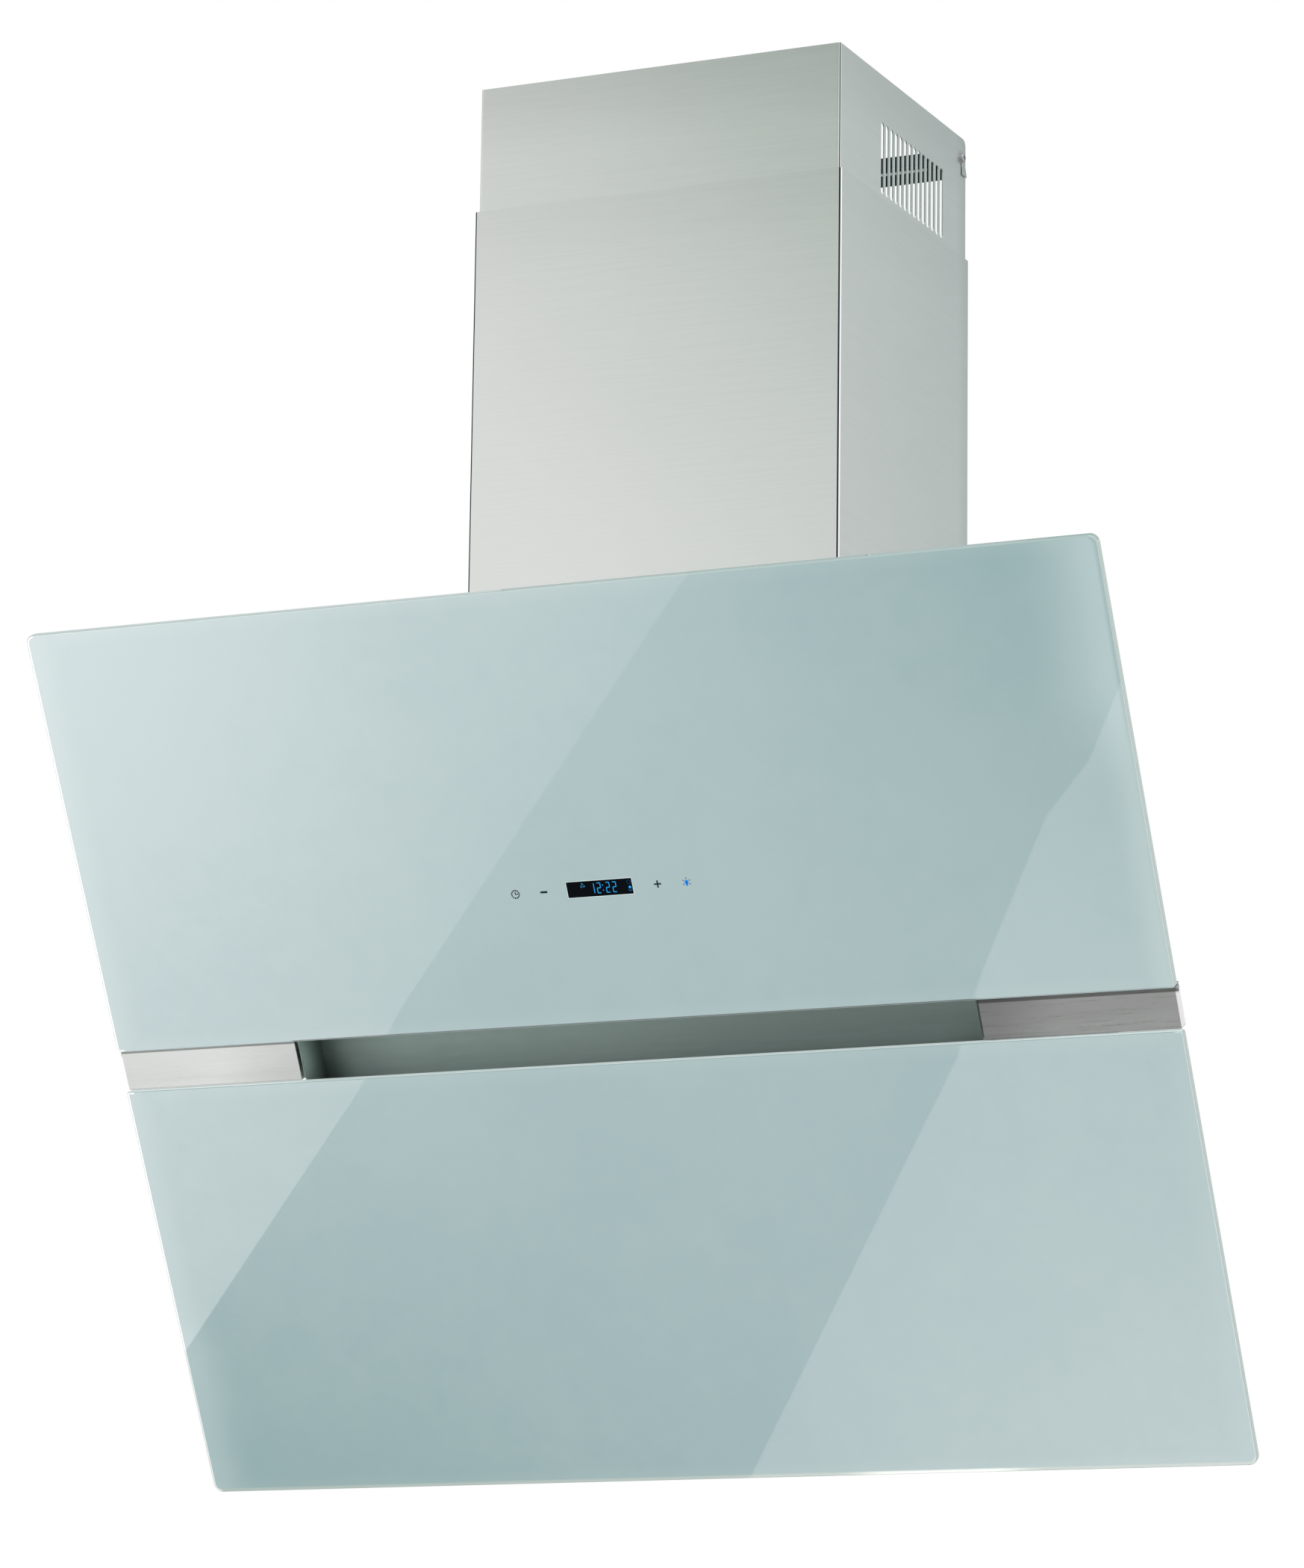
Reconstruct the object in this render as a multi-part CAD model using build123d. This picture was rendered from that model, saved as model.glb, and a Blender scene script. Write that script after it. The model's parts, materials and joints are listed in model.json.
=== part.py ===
from build123d import *

import os
from math import acos, asin, cos, degrees, radians, sin

# Angled wall-mounted cooker hood. Two glass panels in one sloping plane leave an air slot
# between them. A sheet steel body behind the glass holds the blower, the grease filters and
# the electronics, and a chimney in two telescopic sections covers the duct.
#
# Millimetres. X runs along the wall, the wall is the plane Y = 0, the front looks towards -Y
# and +Z is up. The origin is the centre of the four wall fixing holes.
#
# Pieces of the sloping front are drawn in the slope's own frame: x across, u down the slope
# from the top edge of the glass, and w inwards from the front face of the glass.

# Glass front
GLASS_WIDTH = 898.0
GLASS_THICKNESS = 6.0
GLASS_CORNER_RADIUS = 7.0
GLASS_SLOT_RADIUS = 2.5  # corners beside the slot
GLASS_EDGE_CHAMFER = 0.6
GLASS_REACH = 478.0  # from the wall to the top edge of the glass
GLASS_FOOT = 125.5  # from the wall to the bottom edge of the glass
GLASS_TOP = 340.0  # top edge of the glass above the centre of the wall fixings
UPPER_GLASS_HEIGHT = 350.0
LOWER_GLASS_HEIGHT = 350.0
SLOT_GAP = 34.0  # between the two glass panels

# Body of folded sheet
SHEET = 1.0
BACK_SHEET = 1.5
FRONT_STANDOFF = 20.0  # from the front of the glass to the front plane of the body
ROOF_DROP = 60.0  # roof below the top edge of the glass
FLOOR_RISE = 26.0  # floor above the bottom edge of the glass
FLANGE = 14.0
FLOOR_LIP = 15.0
WALL_HOLE_DIAMETER = 8.0
WALL_HOLE_SPACING_X = 400.0
WALL_HOLE_SPACING_Z = 440.0

# Air slot and its end trims
LINER_WIDTH = 576.0  # clear width of the slot
LINER_SIDE_GAP = 3.0  # from the end walls of the liner to the outside of the body
LINER_DEPTH = 41.0  # from the front of the glass to the face of the liner's back wall
LINER_COVER = 5.0  # ceiling of the slot above the bottom edge of the upper glass
LINER_DROP = 14.0  # back wall below the top edge of the lower glass
LINER_SETBACK = 5.5  # from the front of the glass to the front edge of the end walls
CLEARANCE = 0.5  # between pieces that pass each other without touching
TRIM_INSET = 3.0  # face of the trims behind the face of the glass
TRIM_DEPTH = 10.0
TRIM_GAP = 1.0  # above and below each trim
TRIM_SIDE_GAP = 1.5  # beside the slot and inside the glass edge
EYELET_RADIUS = 1.7
EYELET_BORE_RADIUS = 1.1
EYELET_LENGTH = 1.5  # beyond the trim's outer end
TRIM_BRACKET_HEIGHT = 22.0
TRIM_BRACKET_INSET = 7.5  # short of the outer end of the trim
TRIM_BRACKET_FOOT = 26.0

# Upper glass mounting and touch controls
RAIL_SPACING = 460.0
RAIL_FLANGE = 20.0
RAIL_SHEET = 1.2
RAIL_LENGTH = 240.0
RAIL_START = 90.0  # down the slope from the top edge of the glass
CONTROL_ROW = 241.0  # down the slope from the top edge of the glass
CONTROL_LENGTH = 184.0
CONTROL_HEIGHT = 34.0
CONTROL_WALL = 1.5
BOARD_THICKNESS = 1.6
BOARD_MARGIN = 2.0
BOARD_DEPTH = 12.0  # front of the touch board behind the front of the glass
BOARD_POST_RADIUS = 3.0
DISPLAY_LENGTH = 58.0
DISPLAY_HEIGHT = 16.0
DISPLAY_OFFSET = 1.0  # centre of the display to the right of the centre line
TOUCH_KEYS = (-71.0, -46.5, 49.6, 74.0)  # timer, minus, plus and lamp
TOUCH_SPRING_RADIUS = 4.0
CABLE_HOLE_RADIUS = 8.0

# Grease filters and their latches
SHELF_DEPTH = 46.0  # from the front of the glass to the face that carries the filters
SHELF_FLANGE = 6.0  # foot flange behind the shelf, resting on the floor
FILTER_THICKNESS = 9.0
FILTER_BORDER = 12.0
FILTER_GAP = 6.0  # between the two filters
FILTER_SIDE_GAP = 0.5  # beside the body's front flanges
FILTER_HEAD_GAP = 6.0  # below the back wall of the slot liner
FILTER_FOOT_GAP = 9.0  # above the floor
MESH_THICKNESS = 6.0
FOOT_LIP = 7.0
LATCH_BLOCK_WIDTH = 60.0
LATCH_BLOCK_HEIGHT = 38.0
LATCH_WIDTH = 20.0
LATCH_NECK_WIDTH = 14.0
LATCH_THICKNESS = 2.6
LATCH_GROOVE_DEPTH = 4.0
LATCH_LIP = 1.0
LATCH_LENGTH = 31.0
LATCH_TONGUE = 5.4  # reach of the tongue past the top of the filter
LATCH_GRIP = 10.0
LATCH_GRIP_HEIGHT = 6.0
LATCH_SLACK = 0.2
LATCH_TRAVEL = 6.0

# Door that carries the lower glass
DOOR_SIDE_GAP = 20.0  # narrower than the slot at each end
DOOR_DEPTH = 9.0
DOOR_HEAD = 8.0  # frame below the top edge of the lower glass
DOOR_FOOT = 26.0  # frame above the bottom edge of the lower glass
DOOR_TAB_START = 21.0  # down the slope from the top edge of the lower glass
DOOR_TAB_HEIGHT = 20.0
DOOR_TAB_SHEET = 2.0
HINGE_RISE = 12.0  # hinge axis above the bottom edge of the lower glass
HINGE_SETBACK = 6.0  # hinge axis behind the back of the glass
HINGE_PIN_RADIUS = 3.0
HINGE_RADIAL_CLEARANCE = 0.05
HINGE_EAR_RADIUS = 5.0
DOOR_EAR = 2.0
BRACKET_EAR = 3.0
BRACKET_EAR_GAP = 2.0
BRACKET_FOOT = 20.0
BRACKET_FOOT_SHEET = 2.0
BRACKET_FOOT_HEIGHT = 14.0
MAGNET_WIDTH = 9.0
MAGNET_HEIGHT = 14.0
MAGNET_GAP = 0.3

# Blower
DUCT_DIAMETER = 150.0
IMPELLER_DIAMETER = 150.0
IMPELLER_WIDTH = 114.0
IMPELLER_RING = 3.0
IMPELLER_DISC = 2.0
IMPELLER_RIM = 1.0  # width of the end rings inside and outside the blades together
BLADE_COUNT = 36
BLADE_CHORD = 12.0
BLADE_THICKNESS = 1.2
BLADE_SKEW = 25.0
HUB_RADIUS = 10.0
HUB_LENGTH = 10.0
SCROLL_START = 82.0  # radius at the tongue
SCROLL_END = 135.0  # radius at the throat
SCROLL_WIDTH = 128.0
SCROLL_WALL = 2.0
SCROLL_DROP = 114.0  # impeller axis below the underside of the roof
SCROLL_STEPS = 12
THROAT_DEPTH = 140.0
THROAT_FLANGE = 14.0
INLET_RADIUS = 62.0
MOTOR_RADIUS = 42.0
MOTOR_START = 8.0
SHAFT_RADIUS = 4.0
SHAFT_RADIAL_CLEARANCE = 0.05
SHAFT_START = -14.0
SHAFT_END = 60.0
MOTOR_ARM_WIDTH = 14.0
MOTOR_ARM_THICKNESS = 3.0
MOTOR_ARM_COUNT = 4
MOTOR_ARM_OVERLAP = 12.0  # seat of each arm on the housing beside the inlet
MOTOR_RING_RADIUS = 30.0

# Duct spigot with its two backdraught flaps
SPIGOT_WALL = 2.0
SPIGOT_HEIGHT = 45.0
SPIGOT_BASE = 2.5
SPIGOT_BASE_WIDTH = 156.0
SPIGOT_BASE_DEPTH = 168.0
DUCT_SCREW_SPACING_X = 142.0
DUCT_SCREW_SPACING_Y = 154.0
FLAP_HEIGHT = 20.0  # flap axis above the roof
FLAP_THICKNESS = 1.5
FLAP_RIM_GAP = 1.5
FLAP_PIN_RADIUS = 2.0
FLAP_PIN_CLEARANCE = 0.05
FLAP_KNUCKLE_RADIUS = 3.5
FLAP_KNUCKLE_LENGTH = 15.0
FLAP_EDGE = 4.0  # inner edge of each flap from the axis
LEDGE_WIDTH = 3.0
LEDGE_THICKNESS = 3.0
LEDGE_GAP = 0.3

# Electrical pieces
WIRING_BOX = (140.0, 120.0, 44.0)
WIRING_SIDE_GAP = 21.0  # from the side of the body
WIRING_BOX_Y = -240.0
WIRING_WALL = 2.0
WIRING_COVER = 1.0
CONTROL_BOARD_STAND = 6.0
CAPACITOR_RADIUS = 14.0
CAPACITOR_LENGTH = 55.0
LAMP_DRIVER = (80.0, 40.0, 22.0)
LAMP_DRIVER_SIDE_GAP = 61.0  # from the side of the body
LAMP_DRIVER_Y = -180.0
GLAND_X = 115.0
GLAND_Y = -60.0
GLAND_BORE_RADIUS = 4.5
GLAND_THREAD_RADIUS = 8.0
GLAND_COLLAR_RADIUS = 11.0
GLAND_COLLAR_HEIGHT = 4.0
GLAND_DOME_RADIUS = 8.5
GLAND_DOME_HEIGHT = 10.0
GLAND_THREAD_LENGTH = 9.0
GLAND_NUT_HEIGHT = 4.0

# Lamps
LAMP_SPACING = 360.0
LAMP_SETBACK = 45.0  # from the wall
LAMP_RADIUS = 30.0
LAMP_RIM_RADIUS = 34.0
LAMP_RIM = 1.5
LAMP_HEIGHT = 26.0
LENS_RADIUS = 26.0
LENS_THICKNESS = 2.5

# Chimney
CHIMNEY_WIDTH = 322.5
CHIMNEY_DEPTH = 275.0
CHIMNEY_SHEET = 1.0
CHIMNEY_BEND = 2.0
LOWER_CHIMNEY_HEIGHT = 434.0
UPPER_CHIMNEY_HEIGHT = 420.0
UPPER_CHIMNEY_SHOWN = 104.7
TELESCOPE_GAP = 1.5
GUIDE_CLEARANCE = 0.3
GUIDE_SIZE = 20.0
GUIDE_RISE = 4.0  # above the bottom of the upper section
REAR_CORNER_RADIUS = 6.0
VENT_COUNT = 14
VENT_PITCH = 9.9
VENT_WIDTH = 6.2
VENT_HEIGHT = 60.0
VENT_SETBACK = 54.2  # rearmost slot from the wall
VENT_DROP = 69.7  # centre of the slots below the top of the chimney
BRACKET_HEIGHT = 25.0
BRACKET_SHEET = 2.0
BRACKET_EAR_DEPTH = 20.0
BRACKET_DROP = 6.7  # upper bracket below the top of the chimney
BRACKET_RISE = 10.0  # lower bracket above the roof
BRACKET_RIB_RADIUS = 1.5
BRACKET_HOLE_DIAMETER = 6.0
BRACKET_HOLE_SPACING = 284.0
SIDE_SCREW_SETBACK = 10.0  # from the wall
SIDE_SCREW_DROP = 17.7  # below the top of the chimney
RELIEF_WIDTH = 1.2
RELIEF_LENGTH = 9.0  # below the washer
TAB_FLARE = 1.2

# Screws: head diameter, head height, shank diameter, shank length
SIDE_SCREW = (7.6, 2.2, 4.0, 8.0)
CABINET_SCREW = (7.0, 2.0, 4.0, 6.0)
DUCT_SCREW = (8.0, 2.4, 4.0, 10.0)
WASHER_DIAMETER = 11.0
WASHER_THICKNESS = 0.8
RECESS_WIDTH = 1.1
CABINET_SCREW_SETBACKS = (60.0, 210.0, 340.0)

# Worked out from the values above
GAP_START = UPPER_GLASS_HEIGHT
GAP_END = GAP_START + SLOT_GAP
SLOPE_END = GAP_END + LOWER_GLASS_HEIGHT
GLASS_TILT = asin((GLASS_REACH - GLASS_FOOT) / SLOPE_END)  # from the vertical
COS = cos(GLASS_TILT)
SIN = sin(GLASS_TILT)
SLOPE = Plane(origin=(0, -GLASS_REACH, GLASS_TOP), x_dir=(1, 0, 0), z_dir=(0, COS, SIN))
FRONT_BACK = FRONT_STANDOFF + SHEET
OVER = 5.0  # reach of a cutting shape past the face it cuts

BODY_HALF = LINER_WIDTH / 2 + SHEET + LINER_SIDE_GAP
BODY_INNER = BODY_HALF - SHEET
ROOF_TOP = GLASS_TOP - ROOF_DROP
ROOF_UNDER = ROOF_TOP - SHEET
FLOOR_UNDER = GLASS_TOP - SLOPE_END * COS + FLOOR_RISE
FLOOR_TOP = FLOOR_UNDER + SHEET

LINER_HALF = LINER_WIDTH / 2
LINER_CEILING = GAP_START - LINER_COVER
LINER_END = GAP_END + LINER_DROP
TRIM_START = LINER_HALF + SHEET + TRIM_SIDE_GAP
TRIM_END = GLASS_WIDTH / 2 - TRIM_SIDE_GAP
TRIM_BRACKET_END = TRIM_END - TRIM_BRACKET_INSET

FILTER_FRONT = SHELF_DEPTH - FILTER_THICKNESS
FILTER_HEAD = LINER_END + FILTER_HEAD_GAP
FILTER_OUTER = BODY_INNER - FLANGE - FILTER_SIDE_GAP
FILTER_INNER = FILTER_GAP / 2
FILTER_CENTRE = (FILTER_OUTER + FILTER_INNER) / 2

DOOR_HALF = LINER_HALF - DOOR_SIDE_GAP
DOOR_START = GAP_END + DOOR_HEAD
DOOR_END = SLOPE_END - DOOR_FOOT
DOOR_BACK = GLASS_THICKNESS + DOOR_DEPTH
HINGE_U = SLOPE_END - HINGE_RISE
HINGE_W = GLASS_THICKNESS + HINGE_SETBACK

DUCT_RADIUS = DUCT_DIAMETER / 2
DUCT_Y = -CHIMNEY_DEPTH / 2
IMPELLER_Y = DUCT_Y - SCROLL_END + THROAT_DEPTH / 2
IMPELLER_Z = ROOF_UNDER - SCROLL_DROP
SCROLL_HALF = SCROLL_WIDTH / 2
FLAP_Z = ROOF_TOP + FLAP_HEIGHT
WIRING_BOX_X = BODY_INNER - WIRING_SIDE_GAP - WIRING_BOX[0] / 2
WIRING_FOOT = ROOF_UNDER - WIRING_BOX[2]
LAMP_DRIVER_X = LAMP_DRIVER_SIDE_GAP + LAMP_DRIVER[0] / 2 - BODY_INNER

LOWER_CHIMNEY_TOP = ROOF_TOP + LOWER_CHIMNEY_HEIGHT
CHIMNEY_TOP = LOWER_CHIMNEY_TOP + UPPER_CHIMNEY_SHOWN
UPPER_CHIMNEY_BOTTOM = CHIMNEY_TOP - UPPER_CHIMNEY_HEIGHT
LOWER_CHIMNEY_HALF = CHIMNEY_WIDTH / 2
UPPER_CHIMNEY_HALF = LOWER_CHIMNEY_HALF - CHIMNEY_SHEET - TELESCOPE_GAP
UPPER_CHIMNEY_DEPTH = CHIMNEY_DEPTH - CHIMNEY_SHEET - TELESCOPE_GAP
SIDE_SCREW_Z = CHIMNEY_TOP - SIDE_SCREW_DROP
RELIEF_TOP = SIDE_SCREW_Z - WASHER_DIAMETER / 2
RELIEF_BOTTOM = RELIEF_TOP - RELIEF_LENGTH
LOWER_BRACKET_BOTTOM = ROOF_TOP + BRACKET_RISE


# Shared helpers


def slope_y(u, w):
    """Y of a point of the slope's frame."""
    return -GLASS_REACH + u * SIN + w * COS


def slope_z(u, w):
    """Z of a point of the slope's frame."""
    return GLASS_TOP - u * COS + w * SIN


def slope_u(w, z):
    """Distance down the slope at which depth w is at height z."""
    return (GLASS_TOP + w * SIN - z) / COS


def slope_point(u, w):
    """Y and Z of a point of the slope's frame."""
    return (slope_y(u, w), slope_z(u, w))


def front_y(w, z):
    """Y at which depth w behind the glass is at height z."""
    return slope_y(slope_u(w, z), w)


def block(x, y, z):
    """Box between a low and a high value on each axis."""
    corner = Pos(x[0], y[0], z[0])
    return corner * Box(x[1] - x[0], y[1] - y[0], z[1] - z[0], align=(Align.MIN,) * 3)


def slope_block(x, u, w):
    """Box drawn in the slope's frame."""
    return SLOPE.location * block(x, u, w)


def prism(points, x):
    """Outline of Y and Z points, extruded along X."""
    face = Plane.YZ.offset(x[0]) * Polygon(*points, align=None)
    return extrude(face, amount=x[1] - x[0], dir=(1, 0, 0))


def rod(origin, direction, radius, length):
    """Cylinder that starts at a point and runs along a direction."""
    base = Plane(origin=origin, z_dir=direction)
    return base.location * Cylinder(radius, length, align=(Align.CENTER, Align.CENTER, Align.MIN))


def slope_rod(x, u, w, radius, length):
    """Cylinder square to the slope, drawn in the slope's frame."""
    return SLOPE.location * rod((x, u, w), (0, 0, 1), radius, length)


def mirrored(shape):
    """The same piece on the other side of the centre line."""
    return mirror(shape, about=Plane.YZ)


def pair(shape):
    """A piece and its mirror image, as separate solids."""
    return Compound([shape, mirrored(shape)])


def drill(shape, origins, direction, radius, depth=2 * OVER):
    """Cut round holes through a sheet, centred on its faces."""
    for origin in origins:
        start = Vector(*origin) - Vector(*direction) * (depth / 2)
        shape = shape - rod(start, direction, radius, depth)
    return shape


def screw(origin, direction, size):
    """Pan head screw with a cross recess, its head outside the seat at origin."""
    head_diameter, head_height, shank_diameter, shank_length = size
    head = Cylinder(head_diameter / 2, head_height, align=(Align.CENTER, Align.CENTER, Align.MIN))
    head = fillet(head.edges().group_by(Axis.Z)[-1], head_height * 0.4)
    recess = Pos(0, 0, head_height) * Box(head_diameter * 0.6, RECESS_WIDTH, head_height)
    head = head - recess - Rot(0, 0, 90) * recess
    shank = rod((0, 0, -shank_length), (0, 0, 1), shank_diameter / 2, shank_length)
    return Plane(origin=origin, z_dir=direction).location * (head + shank)


def screws(origins, direction, size):
    """Several equal screws as separate solids."""
    return Compound([screw(origin, direction, size) for origin in origins])


# Glass


def glass_panel(start, end, start_radius, end_radius):
    """Toughened panel with rounded corners and ground edges."""
    outline = Pos(0, (start + end) / 2) * Rectangle(GLASS_WIDTH, end - start)
    panel = extrude(outline, amount=GLASS_THICKNESS)
    for row, radius in ((0, start_radius), (-1, end_radius)):
        corners = panel.edges().filter_by(Axis.Z).group_by(Axis.Y)[row]
        panel = fillet(corners, radius)
    faces = panel.faces().sort_by(Axis.Z)
    panel = chamfer(faces[0].edges() + faces[-1].edges(), GLASS_EDGE_CHAMFER)
    return SLOPE.location * panel


def glass_rails():
    """Z-section rails, bonded to the upper glass and screwed to the front plate."""
    inner = RAIL_SPACING / 2
    span = (RAIL_START, RAIL_START + RAIL_LENGTH)
    glass_flange = slope_block(
        (inner, inner + RAIL_FLANGE), span, (GLASS_THICKNESS, GLASS_THICKNESS + RAIL_SHEET)
    )
    web = slope_block((inner, inner + RAIL_SHEET), span, (GLASS_THICKNESS, FRONT_STANDOFF))
    body_flange = slope_block(
        (inner - RAIL_FLANGE, inner + RAIL_SHEET),
        span,
        (FRONT_STANDOFF - RAIL_SHEET, FRONT_STANDOFF),
    )
    return pair(glass_flange + web + body_flange)


# Body


def cabinet_screw_points(height):
    """Centres of the screws along both side flanges, at a given height."""
    reach = -front_y(FRONT_BACK, height) - FLANGE
    setbacks = [setback for setback in CABINET_SCREW_SETBACKS if setback < reach]
    offset = BODY_INNER - FLANGE / 2
    return [(side * offset, -setback, height) for side in (-1, 1) for setback in setbacks]


def side_panel():
    """Right side of the body, with flanges turned inwards all round."""
    panel = prism(
        [
            (-BACK_SHEET, FLOOR_TOP),
            (front_y(FRONT_BACK, FLOOR_TOP), FLOOR_TOP),
            (front_y(FRONT_BACK, ROOF_UNDER), ROOF_UNDER),
            (-BACK_SHEET, ROOF_UNDER),
        ],
        (BODY_INNER, BODY_HALF),
    )
    inward = (BODY_INNER - FLANGE, BODY_INNER)
    flange_back = FRONT_BACK + SHEET
    top = block(inward, (front_y(flange_back, ROOF_UNDER), -BACK_SHEET), (ROOF_UNDER - SHEET, ROOF_UNDER))
    bottom = block(inward, (front_y(flange_back, FLOOR_TOP), -BACK_SHEET), (FLOOR_TOP, FLOOR_TOP + SHEET))
    rear = block(inward, (-BACK_SHEET - SHEET, -BACK_SHEET), (FLOOR_TOP, ROOF_UNDER))
    front_depth = (FRONT_BACK, flange_back)
    upper_front = slope_block(
        inward, (slope_u(flange_back, ROOF_UNDER), LINER_CEILING - SHEET), front_depth
    )
    lower_front = slope_block(inward, (LINER_END, slope_u(FRONT_BACK, FLOOR_TOP)), front_depth)
    side = panel + top + bottom + rear + upper_front + lower_front
    side = drill(side, cabinet_screw_points(ROOF_UNDER), (0, 0, 1), CABINET_SCREW[2] / 2)
    return drill(side, cabinet_screw_points(FLOOR_TOP), (0, 0, 1), CABINET_SCREW[2] / 2)


def duct_screw_points(z):
    """Centres of the four screws that clamp spigot, roof and blower together."""
    x = DUCT_SCREW_SPACING_X / 2
    y = DUCT_SCREW_SPACING_Y / 2
    return [(sx * x, DUCT_Y + sy * y, z) for sx in (-1, 1) for sy in (-1, 1)]


def roof_panel():
    """Top of the body, with the duct opening and the hole for the cable gland."""
    roof = prism(
        [
            (0, ROOF_UNDER),
            (front_y(FRONT_STANDOFF, ROOF_UNDER), ROOF_UNDER),
            (front_y(FRONT_STANDOFF, ROOF_TOP), ROOF_TOP),
            (0, ROOF_TOP),
        ],
        (-BODY_HALF, BODY_HALF),
    )
    roof = drill(roof, [(0, DUCT_Y, ROOF_UNDER)], (0, 0, 1), DUCT_RADIUS - SPIGOT_WALL)
    roof = drill(roof, [(GLAND_X, GLAND_Y, ROOF_UNDER)], (0, 0, 1), GLAND_THREAD_RADIUS)
    roof = drill(roof, cabinet_screw_points(ROOF_UNDER), (0, 0, 1), CABINET_SCREW[2] / 2)
    return drill(roof, duct_screw_points(ROOF_UNDER), (0, 0, 1), DUCT_SCREW[2] / 2)


def lamp_points(z):
    """Centres of the two lamps."""
    return [(side * LAMP_SPACING / 2, -LAMP_SETBACK, z) for side in (-1, 1)]


def floor_panel():
    """Bottom of the body, with the lamp holes and a front lip that carries the hinges."""
    floor = prism(
        [
            (0, FLOOR_UNDER),
            (front_y(FRONT_STANDOFF, FLOOR_UNDER), FLOOR_UNDER),
            (front_y(FRONT_STANDOFF, FLOOR_TOP), FLOOR_TOP),
            (0, FLOOR_TOP),
        ],
        (-BODY_HALF, BODY_HALF),
    )
    lip_end = slope_u(FRONT_STANDOFF, FLOOR_UNDER)
    lip_foot = slope_u(FRONT_BACK, FLOOR_UNDER)
    lip = prism(
        [
            slope_point(lip_end - FLOOR_LIP, FRONT_STANDOFF),
            slope_point(lip_end - FLOOR_LIP, FRONT_BACK),
            slope_point(lip_foot, FRONT_BACK),
            slope_point(lip_end, FRONT_STANDOFF),
        ],
        (-BODY_HALF, BODY_HALF),
    )
    floor = floor + lip
    floor = drill(floor, lamp_points(FLOOR_UNDER), (0, 0, 1), LAMP_RADIUS)
    return drill(floor, cabinet_screw_points(FLOOR_TOP), (0, 0, 1), CABINET_SCREW[2] / 2)


def back_plate():
    """Rear sheet, with the four holes that hang the hood on the wall."""
    plate = block((-BODY_HALF, BODY_HALF), (-BACK_SHEET, 0), (FLOOR_TOP, ROOF_UNDER))
    holes = [
        (side * WALL_HOLE_SPACING_X / 2, 0, row * WALL_HOLE_SPACING_Z / 2)
        for side in (-1, 1)
        for row in (-1, 1)
    ]
    return drill(plate, holes, (0, 1, 0), WALL_HOLE_DIAMETER / 2)


def front_plate():
    """Sheet behind the upper glass, from the roof down to the slot."""
    plate = prism(
        [
            slope_point(slope_u(FRONT_STANDOFF, ROOF_UNDER), FRONT_STANDOFF),
            slope_point(slope_u(FRONT_BACK, ROOF_UNDER), FRONT_BACK),
            slope_point(LINER_CEILING - SHEET, FRONT_BACK),
            slope_point(LINER_CEILING - SHEET, FRONT_STANDOFF),
        ],
        (-BODY_HALF, BODY_HALF),
    )
    return plate - slope_rod(0, CONTROL_ROW, FRONT_STANDOFF - OVER, CABLE_HOLE_RADIUS, 2 * OVER)


def cabinet_screws():
    """Screws that hold the roof and the floor to the side panels."""
    up = screws(cabinet_screw_points(ROOF_TOP), (0, 0, 1), CABINET_SCREW)
    down = screws(cabinet_screw_points(FLOOR_UNDER), (0, 0, -1), CABINET_SCREW)
    return Compound(up.solids() + down.solids())


# Air slot


def slot_liner():
    """Folded tray behind the slot: ceiling, back wall and end walls, open downwards."""
    outer = LINER_HALF + SHEET
    front = GLASS_THICKNESS + CLEARANCE
    back = LINER_DEPTH + SHEET
    span = (LINER_CEILING - SHEET, LINER_END)
    ceiling = slope_block((-outer, outer), (span[0], LINER_CEILING), (front, back))
    rear = slope_block((-outer, outer), span, (LINER_DEPTH, back))
    flange = slope_block((-outer, outer), (LINER_END - SHEET, LINER_END), (LINER_DEPTH, SHELF_DEPTH + SHEET))
    wall = slope_block((LINER_HALF, outer), span, (front, back))
    nose = slope_block(
        (LINER_HALF, outer), (GAP_START + TRIM_GAP, GAP_END - TRIM_GAP), (LINER_SETBACK, front)
    )
    end_wall = wall + nose
    return ceiling + rear + flange + end_wall + mirrored(end_wall)


def trim():
    """Steel cover that closes the gap between the glass panels to the right of the slot."""
    x = (TRIM_START, TRIM_END)
    u = (GAP_START + TRIM_GAP, GAP_END - TRIM_GAP)
    w = (TRIM_INSET, TRIM_INSET + TRIM_DEPTH)
    cover = slope_block(x, u, w)
    cover = cover - slope_block(
        (x[0] + SHEET, x[1] - SHEET), (u[0] + SHEET, u[1] - SHEET), (w[0] + SHEET, w[1] + OVER)
    )
    centre = (u[0] + SHEET + EYELET_RADIUS, w[0] + SHEET + EYELET_RADIUS)
    eyelet = rod((x[1] - SHEET, *centre), (1, 0, 0), EYELET_RADIUS, SHEET + EYELET_LENGTH)
    bore = rod((x[1] - OVER, *centre), (1, 0, 0), EYELET_BORE_RADIUS, 2 * OVER)
    return cover + SLOPE.location * eyelet - SLOPE.location * bore


def trim_brackets():
    """Arms that carry the trims out past the sides of the body."""
    middle = (GAP_START + GAP_END) / 2
    u = (middle - TRIM_BRACKET_HEIGHT / 2, middle + TRIM_BRACKET_HEIGHT / 2)
    w = TRIM_INSET + TRIM_DEPTH
    x = (BODY_HALF, TRIM_BRACKET_END)
    plate = slope_block(x, (GAP_START + TRIM_GAP, GAP_END - TRIM_GAP), (w, w + SHEET))
    web = slope_block(x, (u[0], u[0] + SHEET), (w, FRONT_BACK + TRIM_BRACKET_FOOT / 2))
    foot = slope_block((x[0], x[0] + SHEET), u, (w, FRONT_BACK + TRIM_BRACKET_FOOT))
    return pair(plate + web + foot)


# Touch controls


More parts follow.
